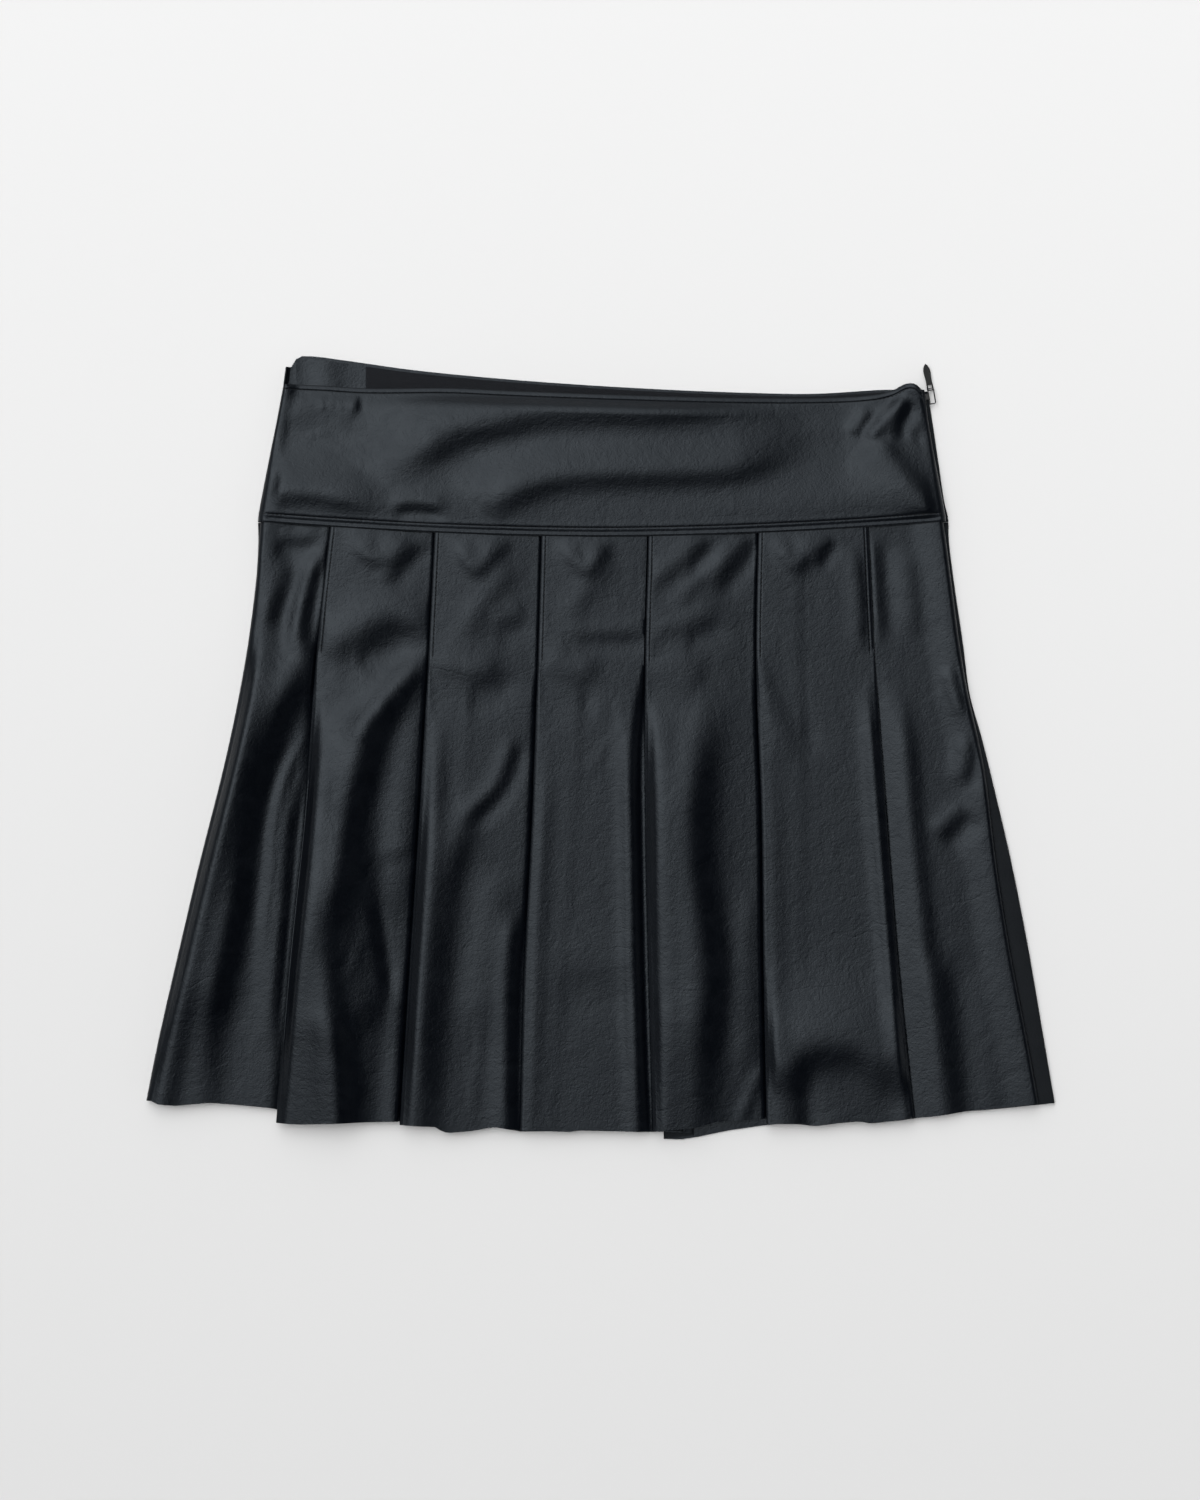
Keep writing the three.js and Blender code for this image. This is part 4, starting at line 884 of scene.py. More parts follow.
wire(hairlines, (
    (hairlines_in, "Vector", hair_warp, "Vector"),
    (hairlines_in, "Vector", hair_where, "Vector"),
    (hair_warp, "Color", hair_push, 0),
    (hairlines_in, "Vector", hair_add, 0),
    (hair_push, 0, hair_add, 1),
    (hair_add, 0, hair_stretch, "Vector"),
    (hair_stretch, 0, hair_cells, "Vector"),
    (hairlines_in, "Creases per metre", hair_cells, "Scale"),
    (hair_cells, "Distance", hair_line, "Value"),
    (hair_where, "Fac", hair_only, "Value"),
    (hair_line, "Result", hair_keep, 0),
    (hair_only, "Result", hair_keep, 1),
    (hair_keep, 0, hairlines_out, "Height"),
))
print("groups:", [group.name for group in (grain, mottle, hairlines)])

# %% Leather materials
LEATHER_DARK = (0.0004, 0.0008, 0.0018, 1.0)
LEATHER_LIGHT = (0.0008, 0.0013, 0.0026, 1.0)
LEATHER_ROUGH = (0.28, 0.36)
LEATHER_SPECULAR = 0.20
LEATHER_TINT = (0.80, 0.905, 1.0, 1.0)


def use_group(tree, group, values=()):
    """A group node that reads Object coordinates."""
    node = add_node(tree, "ShaderNodeGroup", node_tree=group)
    for socket, value in dict(values).items():
        node.inputs[socket].default_value = value
    place = add_node(tree, "ShaderNodeTexCoord")
    tree.links.new(place.outputs["Object"], node.inputs["Vector"])
    return node


def socket_called(sockets, identifier):
    """The socket that a node knows by this identifier."""
    return next(s for s in sockets if s.identifier == identifier)


def leather_material(name, dark, light, rough, specular, tint):
    """Smooth coated leather: mottled sheen over grain, soft unevenness and hairline creases."""
    material, tree, shader = new_material(name)
    patches = use_group(tree, mottle, {"Patches per metre": 85.0})
    cells = use_group(tree, grain)
    creases = use_group(tree, hairlines)
    colour = add_node(tree, "ShaderNodeMix", data_type="RGBA")
    for socket, value in (("A_Color", dark), ("B_Color", light)):
        socket_called(colour.inputs, socket).default_value = value
    gloss = add_node(tree, "ShaderNodeMapRange", {"To Min": rough[0], "To Max": rough[1]})
    uneven = add_node(tree, "ShaderNodeBump", {"Strength": 1.0, "Distance": 0.00028})
    line = add_node(tree, "ShaderNodeBump", {"Strength": 1.0, "Distance": 0.000035})
    pores = add_node(tree, "ShaderNodeBump", {"Strength": 1.0, "Distance": 0.00004})
    tree.links.new(patches.outputs["Mask"], socket_called(colour.inputs, "Factor_Float"))
    wire(tree, (
        (patches, "Mask", gloss, "Value"),
        (patches, "Height", uneven, "Height"),
        (creases, "Height", line, "Height"),
        (cells, "Height", pores, "Height"),
        (uneven, 0, line, "Normal"),
        (line, 0, pores, "Normal"),
    ))
    tree.links.new(socket_called(colour.outputs, "Result_Color"), shader.inputs["Base Color"])
    tree.links.new(gloss.outputs["Result"], shader.inputs["Roughness"])
    tree.links.new(pores.outputs[0], shader.inputs["Normal"])
    shader.inputs["Specular IOR Level"].default_value = specular
    shader.inputs["Specular Tint"].default_value = tint
    return material


KNIT_DARK = (0.004, 0.0045, 0.0055, 1.0)
KNIT_LIGHT = (0.007, 0.0078, 0.009, 1.0)
KNIT_ROUGH = (0.6, 0.75)
KNIT_SPECULAR = 0.12
leather = leather_material(
    "black leather", LEATHER_DARK, LEATHER_LIGHT, LEATHER_ROUGH, LEATHER_SPECULAR, LEATHER_TINT)
knit_back = leather_material(
    "knitted back", KNIT_DARK, KNIT_LIGHT, KNIT_ROUGH, KNIT_SPECULAR, LEATHER_TINT)
print("leather roughness", LEATHER_ROUGH)

# %% Skirt front
skirt_front = cloth_shell("leather_skirt_front", front_sheet, leather, knit_back)
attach(skirt_front, "garment")
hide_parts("skirt_front")

# %% [markdown]
# ## The back
# The back is the same kind of piece, lying on its face, so its pleats point down at the table. Its
# left edge turns up to meet the front. Its right edge turns in, with a narrow allowance along the
# zip and a deeper one below it, and shows as a strip beside the front. It lies flat on what it rests
# on, and only its panels between the pleats have room for a few soft folds.

# %% Skirt back
BACK_BED = HALF
BACK_ROWS = 74


def back_turn(down):
    """How far the back's right edge turns in: less along the zip than below it."""
    return mix(RIGHT_EDGE["zip_turn"], RIGHT_EDGE["side_turn"], ease(ZIP_END_DOWN, ZIP_END_DOWN + 40, down))


def back_right_rim(down):
    """The right edge, turned in over itself."""
    turn = float(back_turn(down))
    allowance = mix(ZIP_ALLOWANCE, SIDE_ALLOWANCE, ease(ZIP_END_DOWN, ZIP_END_DOWN + 40, down))
    angle = np.radians(np.linspace(30, 180, 6))
    x = np.concatenate([-turn * (1 - np.sin(angle)), -turn - allowance * np.array([0.5, 1.0])])
    z = np.concatenate([BACK_BED + turn * (1 - np.cos(angle)), np.full(2, BACK_BED + 2 * turn)])
    return x, z


back_radius = LEFT_EDGE["back_top"] - BACK_BED


def back_left_rim(down):
    """The left edge, rounded up to the front."""
    angle = np.linspace(0, np.pi / 2, 5, endpoint=False)
    return back_radius * (1 - np.cos(angle)), LEFT_EDGE["back_top"] - back_radius * np.sin(angle)


BACK_FOLDS = [
    Fold(0, "ridge", 9, 0.9, [(-190, 60), (-205, -20), (-222, -110), (-236, -200)]),
    Fold(1, "ridge", 8, 0.8, [(-122, 70), (-128, -20), (-140, -130), (-146, -220)]),
    Fold(1, "flank", 6, 0.4, [(-140, 40), (-118, 62), (-100, 84)]),
    Fold(2, "ridge", 9, 0.8, [(-58, 50), (-62, -60), (-70, -180)]),
    Fold(2, "flank", 5, 0.4, [(-76, -30), (-56, -8), (-44, 18)]),
    Fold(3, "ridge", 7, 0.7, [(4, 80), (2, 0), (0, -120)]),
    Fold(4, "ridge", 9, 0.9, [(66, 40), (70, -60), (72, -190)]),
    Fold(4, "flank", 6, 0.4, [(50, 60), (66, 78), (84, 96)]),
    Fold(5, "ridge", 8, 0.7, [(124, 60), (130, -50), (140, -190)]),
    Fold(6, "ridge", 8, 0.6, [(196, 40), (206, -60), (222, -180)]),
]
back_side = Side(
    pleats=BACK_PLEATS, lines=back_lines, hems=BACK_HEMS, folds=BACK_FOLDS,
    left=back_left_at, right=back_right_at, bed=BACK_BED + 2 * LAYER, up=-1, lift=0,
    falls_from=lambda width, depth: width - 15,
    falls_to=lambda width, depth: width - 3,
    left_set=back_radius, left_top=BACK_BED, left_rim=back_left_rim,
    right_set=back_turn, right_top=lambda down: BACK_BED, right_rim=back_right_rim,
    side_run=40, top_down=0.3, lowest=BACK_BED, highest=BACK_BED + 2 * LAYER,
)
back_sheet = pleated_sheet(back_side, np.linspace(0.3, SKIRT_LENGTH, BACK_ROWS))
skirt_back = cloth_shell("leather_skirt_back", back_sheet, leather, knit_back)
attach(skirt_back, "garment")
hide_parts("skirt_back")

# %% [markdown]
# ## The yoke
# The yoke is one smooth band. Its upper edge is turned in and stitched close to the fold, and its
# lower edge is turned under and stitched a few millimetres up, so it ends in a soft roll over the
# pleats. The rows are close together at those two edges and even between them.

# %% Yoke outline
YOKE_SIDE_Y = [110, 130, 141, 164, 187, 196, 208, 225]
yoke_left = curve_through(YOKE_SIDE_Y, [-195.4, -195.2, -193.5, -189.0, -184.4, -182.7, -180.6, -178.6])
yoke_right = curve_through(YOKE_SIDE_Y, [196.9, 196.7, 195.0, 190.6, 186.6, 185.6, 183.9, 181.2])
yoke_back_right = curve_through(YOKE_SIDE_Y, [198.6, 198.4, 196.0, 192.6, 189.2, 187.8, 185.9, 183.2])
front_waist_y = curve_through(
    [-182, -160, -134, -88, -53, 11, 75, 128, 157, 168, 176, 181, 185],
    [207.4, 206.4, 204.9, 205.0, 203.4, 200.9, 199.3, 199.3, 200.9, 203.4, 207.2, 207.0, 203.6])
back_waist_y = curve_through(
    [-180, -177, -172, -150, -108, -54, 1, 56, 110, 131, 165, 187],
    [216.5, 221.6, 223.9, 221.5, 215.7, 210.5, 206.6, 203.8, 202.2, 202.6, 204.6, 203.4])


def yoke_grid(shares, from_top, from_bottom, middle_rows, waist_y, left_side, right_side):
    """X and Y of a band's points, with its side edges and how far down each row is."""
    share = np.array(shares)[None, :]
    top, bottom = np.array(from_top), np.array(from_bottom)
    middle = np.linspace(0, 1, middle_rows + 2)[1:-1]
    count = len(top) + middle_rows + len(bottom)
    y = np.linspace(205, 124, count)[:, None] + 0 * share
    for _ in range(6):
        left, right = left_side(y), right_side(y)
        x = mix(left, right, share)
        upper, lower = waist_y(x), yoke_edge_y(x)
        y = np.concatenate([
            upper[: len(top)] - top[:, None],
            mix((upper - top[-1])[len(top): -len(bottom)], (lower + bottom[0])[len(top): -len(bottom)],
                  middle[:, None]),
            lower[-len(bottom):] + bottom[:, None],
        ])
    down = (upper - y) / (upper - lower)
    return x, y, left, right, down


def skirt_top(x):
    """Height of the top of the lower skirt, just under the yoke's edge."""
    row = pleated_row(front_side, 0.0)
    order = np.argsort(row[0])
    bins = np.round(row[0][order] / 1.0).astype(int)
    tops = {}
    for place, height in zip(bins, row[1][order]):
        tops[place] = max(tops.get(place, 0.0), height)
    places = np.array(sorted(tops))
    return np.interp(x, places, [tops[place] for place in places])


REST_REACH = 18
REST_SMOOTH = 18
rest_places = np.arange(-200.0, 201.0)
rest_tops = skirt_top(rest_places)
rest_high = np.array([
    rest_tops[max(0, i - REST_REACH): i + REST_REACH + 1].max() for i in range(len(rest_tops))])
rest_soft = np.array([
    rest_high[max(0, i - REST_SMOOTH): i + REST_SMOOTH + 1].mean() for i in range(len(rest_high))])


def yoke_rest(x):
    """Height at which the yoke's lower edge rests on the skirt."""
    return LAYER + np.interp(x, rest_places, rest_soft)


print("the yoke's lower edge rests", rest_soft.min().round(1), "to", rest_soft.max().round(1), "mm up")

# %% Yoke measures and folds
NEST = 1.35
WAIST_RIM_RADIUS = 1.8
WAIST_HEIGHT = (3.2, 4.55)
PUCKER = {"x": 177.0, "high": 2.4, "wide": 7.0, "deep": 0.16}
WAIST_WAVE = {"x": 20.0, "high": 2.4, "wide": 80.0}
YOKE_PUFF = 1.0
YOKE_SINK = 0.7
WAIST_STEPS = [0, 0.2, 0.4, 0.7, 1.1, 1.5, 1.9, 2.2, 2.4, 2.6, 2.8, 3.0, 3.4, 4.0, 5.0]
EDGE_STEPS = [
    8.0, 7.0, 6.1, 5.5, 5.2, 5.0, 4.8, 4.6, 4.4, 4.0, 3.5, 2.9, 2.4, 2.0, 1.6, 1.2, 0.9, 0.6, 0.4, 0.2, 0]
YOKE_MIDDLE_ROWS = 30
YOKE_COLUMNS = 190
WAIST_SEAM = 2.6
EDGE_SEAM = 4.8

YOKE_FOLDS = [
    Fold(0, "bank", 11, 6.2, [
        (-122, 146), (-115, 154), (-97, 165), (-80, 174), (-58, 180), (-36, 185), (-7, 187), (27, 187),
        (60, 190), (93, 194), (125, 203)]),
    Fold(0, "bank", 8.5, 4.6, [
        (-66, 130), (-60, 135), (-45, 143), (-25, 149), (-7, 151), (27, 152), (60, 153), (82, 156),
        (104, 163), (126, 172)]),
    Fold(0, "bank", 6, 2.4, [(-206, 138), (-189, 141), (-171, 142), (-150, 139), (-120, 131)]),
    Fold(0, "flank", 4, 0.8, [(-121, 135), (-104, 137), (-86, 134)]),
    Fold(0, "ridge", 6, 2.2, [(-198, 148), (-193, 165), (-189, 182), (-187, 200)]),
    Fold(0, "bank", 7, 1.2, [(-178, 182), (-166, 190), (-150, 190), (-141, 184)]),
    Fold(0, "ridge", 1.5, 0.35, [(-170, 176), (-161, 179), (-153, 180)]),
    Fold(0, "ridge", 4.5, 1.6, [(148, 172), (162, 187), (176, 202)]),
    Fold(0, "flank", 3.5, 0.8, [(144, 176), (150, 184), (156, 194)]),
    Fold(0, "flank", 3.5, 0.7, [(167, 173), (172, 188), (176, 200)]),
    Fold(0, "flank", 3, 0.6, [(176, 176), (182, 181), (189, 185)]),
    Fold(0, "bank", 6, 2.4, [(198, 132), (191, 139), (178, 155), (166, 171), (160, 180)]),
    Fold(0, "ridge", 1.3, 0.4, [(-159, 190), (-158, 204)]),
    Fold(0, "ridge", 1.2, 0.4, [(-154, 192), (-153, 203)]),
    Fold(0, "ridge", 1.2, 0.35, [(-149, 193), (-148, 203)]),
    Fold(0, "ridge", 1.2, 0.35, [(-144, 194), (-144, 203)]),
    Fold(0, "flank", 1.8, 0.7, [(-139, 191), (-138, 204)]),
]
print(len(YOKE_FOLDS), "loose folds on the yoke")

# %% Yoke front
def bump_at(place, centre, wide):
    """A smooth bump, 1 at its centre."""
    return np.exp(-(((place - centre) / wide) ** 2))


def yoke_edges_height(from_top, from_bottom):
    """The two rolled and stitched edges."""
    waist = -0.32 * ease(ROLL_WIDE, 0.2, from_top) - 0.35 * ease(0.4, 0, from_top)
    waist = waist - 0.30 * bump_at(from_top, WAIST_SEAM, FURROW_WIDE)
    strip = 0.12 * bump_at(from_bottom, 6.3, 0.9) - 0.30 * bump_at(from_bottom, EDGE_SEAM, FURROW_WIDE)
    strip = strip - 0.45 * ease(4.3, 2.3, from_bottom) + 0.42 * ease(2.2, 0.8, from_bottom)
    return waist + strip - 0.60 * ease(0.6, 0, from_bottom)


def yoke_front_points():
    """Middle points of the yoke's front, from waist to lower edge."""
    shares = np.linspace(0, 1, YOKE_COLUMNS)
    x, y, left, right, down = yoke_grid(
        shares, WAIST_STEPS, EDGE_STEPS, YOKE_MIDDLE_ROWS, front_waist_y, yoke_left, yoke_right)
    grown = ease(0.3, 0.88, down)
    left_radius = mix(WAIST_RIM_RADIUS, LEFT_EDGE["radius"] + NEST, grown)
    right_radius = mix(WAIST_RIM_RADIUS, RIGHT_EDGE["radius"] + NEST, grown)
    inner_left, inner_right = left + left_radius, right - right_radius
    inner_x = mix(inner_left, inner_right, shares[None, :])
    waist = mix(WAIST_HEIGHT[0], WAIST_HEIGHT[1], ease(135, 160, inner_x))
    lowest = waist - YOKE_SINK
    waist = waist + WAIST_WAVE["high"] * bump_at(inner_x, WAIST_WAVE["x"], WAIST_WAVE["wide"])
    rise = mix(waist, yoke_rest(inner_x), grown)
    from_left, from_right = ease(0, 7, inner_x - inner_left), ease(0, 7, inner_right - inner_x)
    left_top = LEFT_EDGE["front_end"] + left_radius
    right_top = RIGHT_EDGE["front_end"] + right_radius
    settled = mix(left_top, mix(right_top, rise, from_right), from_left)
    loose = ease(0.03, 0.12, down) * ease(0.99, 0.88, down) * from_left * from_right
    away = np.hypot((inner_x - PUCKER["x"]) / PUCKER["wide"], down / PUCKER["deep"])
    folds = relief(YOKE_FOLDS, np.zeros(x.size, int), inner_x.ravel(), y.ravel()).reshape(x.shape)
    puff = YOKE_PUFF * ease(0.02, 0.3, down) * ease(1.0, 0.7, down) * from_left * from_right
    puff = puff * (1 - bump_at(inner_x, WAIST_WAVE["x"], WAIST_WAVE["wide"]))
    lifted = settled + puff + PUCKER["high"] * np.exp(-(away**2)) + loose * folds
    z = lowest + SETTLE * np.logaddexp(0, (lifted - lowest) / SETTLE)
    from_top, from_bottom = front_waist_y(x) - y, y - yoke_edge_y(x)
    z = z + yoke_edges_height(from_top, from_bottom)
    rims = []
    for way, edge, radius, end in (
        (1, left, left_radius, LEFT_EDGE["front_end"]), (-1, right, right_radius, RIGHT_EDGE["front_end"])):
        angle = np.linspace(0, np.pi / 2, 6, endpoint=False)[None, :]
        column = 0 if way == 1 else -1
        size = radius[:, column][:, None]
        rim_x = edge[:, column][:, None] + way * size * (1 - np.cos(angle))
        rim_z = end + size * np.sin(angle)
        rims.append(np.stack([rim_x, y[:, column][:, None] + 0 * rim_x, rim_z], axis=-1))
    middle = np.stack([inner_x, y, z], axis=-1)
    return np.concatenate([rims[0], middle, rims[1][:, ::-1]], axis=1)


yoke_front_sheet = yoke_front_points()
yoke_front = cloth_shell("leather_yoke_front", yoke_front_sheet, leather, knit_back)
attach(yoke_front, "garment")
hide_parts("yoke_front")

# %% [markdown]
# ## The yoke's back and the waist facing
# Behind the front only a wedge of the back shows, from its inside. Its upper edge is folded over a
# facing. Most of the facing is a matte cloth, and a short piece at the left is the leather itself,
# which shines beside it.

# %% Yoke back
def yoke_back_points():
    """Middle points of the yoke's back, with its rounded sides."""
    shares = np.concatenate([[0, 0.006, 0.015, 0.03], np.linspace(0.05, 0.95, 60), [0.97, 0.985, 1]])
    x, y, left, right, _ = yoke_grid(
        shares, [0.0, 2.0, 5.0], [6.0, 3.0, 0.0], 16, back_waist_y, yoke_left, yoke_back_right)
    inner_x = mix(left + back_radius, right - RIGHT_EDGE["zip_turn"], shares[None, :])
    flat = np.stack([inner_x, y, np.full_like(x, BACK_BED)], axis=-1)
    lifted = []
    for row in range(flat.shape[0]):
        left_x, left_z = back_left_rim(0)
        right_x, right_z = back_right_rim(-YOKE_LAP)
        first, last = flat[row, 0], flat[row, -1]
        before = np.stack([left[row, 0] + left_x, np.full_like(left_x, first[1]), left_z], axis=-1)
        after = np.stack([right[row, -1] + right_x, np.full_like(right_x, last[1]), right_z], axis=-1)
        lifted.append(np.concatenate([before, flat[row], after]))
    return np.stack(lifted)


yoke_back_sheet = yoke_back_points()
yoke_back = cloth_shell("leather_yoke_back", yoke_back_sheet, leather, knit_back)
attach(yoke_back, "garment")
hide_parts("yoke_back")

# %% Facing cloth
def toned_material(name, texture, dark, light, rough, specular=0.5):
    """A material whose colour runs from dark to light with one texture."""
    material, tree, shader = new_material(name)
    place = add_node(tree, "ShaderNodeTexCoord")
    kind, values, settings = texture
    pattern = add_node(tree, kind, values, **settings)
    tone = add_node(tree, "ShaderNodeValToRGB")
    for element, colour in zip(tone.color_ramp.elements, (dark, light)):
        element.color = (*colour, 1.0)
    wire(tree, (
        (place, "Object", pattern, "Vector"),
        (pattern, "Fac", tone, "Fac"),
        (tone, "Color", shader, "Base Color"),
    ))
    shader.inputs["Roughness"].default_value = rough
    shader.inputs["Specular IOR Level"].default_value = specular
    print(f"{name}: {len(tree.nodes)} nodes")
    return material, tree, shader, place, pattern


WEAVE_SCALE = 900.0
facing_cloth, facing_tree, facing_shader, weave_place, _ = toned_material(
    "matte facing cloth", ("ShaderNodeTexNoise", {"Scale": 260.0, "Detail": 3.0}, {}),
    (0.0062, 0.0070, 0.0090), (0.0092, 0.0103, 0.0128), 0.85, 0.15)
weave_warp, weave_weft = (
    add_node(facing_tree, "ShaderNodeTexWave", {"Scale": WEAVE_SCALE}, bands_direction=way) for way in "XY")
weave_both = add_node(facing_tree, "ShaderNodeMath", operation="MULTIPLY")
weave_bump = add_node(facing_tree, "ShaderNodeBump", {"Strength": 0.6, "Distance": 0.00015})
wire(facing_tree, (
    (weave_place, "Object", weave_warp, "Vector"),
    (weave_place, "Object", weave_weft, "Vector"),
    (weave_warp, "Fac", weave_both, 0),
    (weave_weft, "Fac", weave_both, 1),
    (weave_both, 0, weave_bump, "Height"),
    (weave_bump, 0, facing_shader, "Normal"),
))

# %% Facings
FACING_JOIN_X = -134.0
FACING_ENDS = (-174.0, 176.0)
FACING_INSET = 1.5
FACING_HIDDEN = 10.0
SEAM_GAP = 0.3


def facing_points(start, end, columns):
    """Middle points of a facing between two places along the waist."""
    x = np.linspace(start, end, columns)[None, :]
    upper, lower = back_waist_y(x) - FACING_INSET, front_waist_y(x) - FACING_HIDDEN
    share = np.linspace(0, 1, 9)[:, None]
    y = mix(upper, lower, share)
    z = BACK_BED + LAYER + 0.15 * np.sin(x / 11.0) * bump_at(share, 0.3, 0.3)
    z = z + 1.1 * bump_at(x, -157.0, 9.0) + 0.5 * bump_at(x, -176.0, 5.0)
    return np.stack([x + 0 * y, y, z + 0 * y], axis=-1)


facing_side = cloth_shell(
    "leather_waist_facing_side",
    facing_points(FACING_ENDS[0], FACING_JOIN_X - SEAM_GAP / 2, 22), leather, knit_back)
facing_back = cloth_shell(
    "cloth_waist_facing_back", facing_points(FACING_JOIN_X + SEAM_GAP / 2, FACING_ENDS[1], 120),
    facing_cloth, facing_cloth, thickness=0.6)
for piece, node, slot, flat, area in (
    (facing_side, "waist_facing_side", "leather", (0.040, 0.028), 0.00097),
    (facing_back, "waist_facing_back", "facing", (0.310, 0.029), 0.0044),
):
    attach(piece, "garment")
    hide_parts(node)

# %% [markdown]
# ## Stitches
# Every stitch is one small spindle of thread. Hundreds of them follow eight lines, so Geometry Nodes
# place them: the tree takes a line, steps along it by the stitch's pitch, sets a spindle on each step
# and turns it along the line. Its sizes are inputs, so the same tree serves every seam.

# %% Thread
thread = toned_material(
    "black thread", ("ShaderNodeTexNoise", {"Scale": 2500.0, "Detail": 2.0}, {}),
    (0.0012, 0.0013, 0.0016), (0.0040, 0.0042, 0.0050), 0.6, 0.2)[0]

# %% Stitch tree
STITCH_SIDES = 6
STITCH_RINGS = 5


def line_tree(name, sizes, axis, piece):
    """Geometry Nodes that set a piece on each step of a line, with one axis turned along the line."""
    tree = bpy.data.node_groups.new(name, "GeometryNodeTree")
    tree.interface.new_socket("Geometry", in_out="INPUT", socket_type="NodeSocketGeometry")
    for size in sizes:
        tree.interface.new_socket(size, in_out="INPUT", socket_type="NodeSocketFloat")
    tree.interface.new_socket("Material", in_out="INPUT", socket_type="NodeSocketMaterial")
    tree.interface.new_socket("Geometry", in_out="OUTPUT", socket_type="NodeSocketGeometry")
    entry, leave = add_node(tree, "NodeGroupInput"), add_node(tree, "NodeGroupOutput")
    curve = add_node(tree, "GeometryNodeMeshToCurve")
    steps = add_node(tree, "GeometryNodeResampleCurve", mode="LENGTH")
    tangent = add_node(tree, "GeometryNodeInputTangent")
    aim = add_node(tree, "FunctionNodeAlignRotationToVector", axis=axis)
    place = add_node(tree, "GeometryNodeInstanceOnPoints")
    real = add_node(tree, "GeometryNodeRealizeInstances")
    smooth = add_node(tree, "GeometryNodeSetShadeSmooth")
    finish = add_node(tree, "GeometryNodeSetMaterial")
    shape, output = piece(tree, entry)
    wire(tree, (
        (entry, "Geometry", curve, "Mesh"),
        (curve, "Curve", steps, "Curve"),
        (entry, "Pitch", steps, "Length"),
        (tangent, 0, aim, "Vector"),
        (steps, "Curve", place, "Points"),
        (shape, output, place, "Instance"),
        (aim, "Rotation", place, "Rotation"),
        (place, "Instances", real, "Geometry"),
        (real, "Geometry", smooth, "Geometry"),
        (smooth, "Geometry", finish, "Geometry"),
        (entry, "Material", finish, "Material"),
        (finish, "Geometry", leave, "Geometry"),
    ))
    return tree


def spindle(tree, entry):
    """Nodes of one spindle, and the output it leaves by."""
    ball = add_node(tree, "GeometryNodeMeshUVSphere", {
        "Segments": STITCH_SIDES, "Rings": STITCH_RINGS, "Radius": 0.5})
    turn_up = add_node(tree, "GeometryNodeTransform", {"Rotation": (0.0, np.pi / 2, 0.0)})
    size = add_node(tree, "ShaderNodeCombineXYZ")
    shape = add_node(tree, "GeometryNodeTransform")
    wire(tree, (
        (entry, "Length", size, "X"),
        (entry, "Width", size, "Y"),
        (entry, "Height", size, "Z"),
        (ball, "Mesh", turn_up, "Geometry"),
        (turn_up, "Geometry", shape, "Geometry"),
        (size, 0, shape, "Scale"),
    ))
    return shape, "Geometry"


stitch_tree = line_tree("stitches along a line", ("Pitch", "Length", "Width", "Height"), "X", spindle)
print("stitch tree:", len(stitch_tree.nodes), "nodes")

# %% Geometry along lines
def along_lines(name, lines, tree, material, **sizes):
    """A plain mesh of what a tree places along lines of points given in millimetres."""
    points, edges = [], []
    for line in lines:
        first = len(points)
        points += [tuple(point) for point in np.array(line) * MM]
        edges += [(i, i + 1) for i in range(first, len(points) - 1)]
    base_mesh = bpy.data.meshes.new(name + "_path")
    base_mesh.from_pydata(points, edges, [])
    base = bpy.data.objects.new(name + "_path", base_mesh)
    scene.collection.objects.link(base)
    modifier = base.modifiers.new("place", "NODES")
    modifier.node_group = tree
    values = {key.replace("_", " ").capitalize(): value * MM for key, value in sizes.items()}
    values["Material"] = material
    for socket in tree.interface.items_tree:
        if socket.in_out == "INPUT" and socket.name in values:
            modifier[socket.identifier] = values[socket.name]
    depsgraph = bpy.context.evaluated_depsgraph_get()
    mesh = bpy.data.meshes.new_from_object(base.evaluated_get(depsgraph))
    base.modifiers.remove(modifier)
    bpy.data.objects.remove(base)
    made = bpy.data.objects.new(name, mesh)
    mesh.name = name
    scene.collection.objects.link(made)
    print(f"{name}: {len(mesh.polygons)} faces")
    return made

# %% Stitch lines
STITCH_PITCH = 2.4
STITCH = {"length": 1.55, "width": 0.50, "height": 0.36}


def nearest_line(sheet, distance, target):
    """For each column of a sheet, its point on the row where a distance is nearest the target."""
    rows = np.abs(distance - target).argmin(0)
    line = sheet[rows, np.arange(sheet.shape[1])].copy()
    line[:, 2] += HALF
    return line


stitch_lines = []
yoke_x, yoke_y = yoke_front_sheet[..., 0], yoke_front_sheet[..., 1]
inside_rims = slice(5, -5)
waist_line = nearest_line(yoke_front_sheet, front_waist_y(yoke_x) - yoke_y, WAIST_SEAM)[inside_rims]
edge_line = nearest_line(yoke_front_sheet, yoke_y - yoke_edge_y(yoke_x), EDGE_SEAM)[inside_rims]
stitch_lines += [waist_line, edge_line]
sewn_rows = np.where((FRONT_DOWNS > 1.0) & (FRONT_DOWNS < RELEASE_DOWN + 0.5))[0]
for number, (pleat, line) in enumerate(zip(FRONT_PLEATS, front_lines)):
    way = 1 if pleat.over == "right" else -1
    seam = []
    for row in sewn_rows:
        seam_x = float(line(FRONT_DOWNS[row])) + way * SEW_FROM_EDGE
        x, z = front_sheet[row, :, 0], front_sheet[row, :, 2]
        near = np.abs(x - seam_x) < 0.6
        best = np.where(near)[0][z[near].argmax()]
        close = np.where(near & (z > z[best] - 0.6))[0]
        best = close[np.abs(x[close] - seam_x).argmin()]
        seam.append([seam_x, front_sheet[row, best, 1], z[best] + HALF])
    stitch_lines.append(np.array(seam))
stitches = along_lines("seam_stitches", stitch_lines, stitch_tree, thread, pitch=STITCH_PITCH, **STITCH)
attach(stitches, "garment")

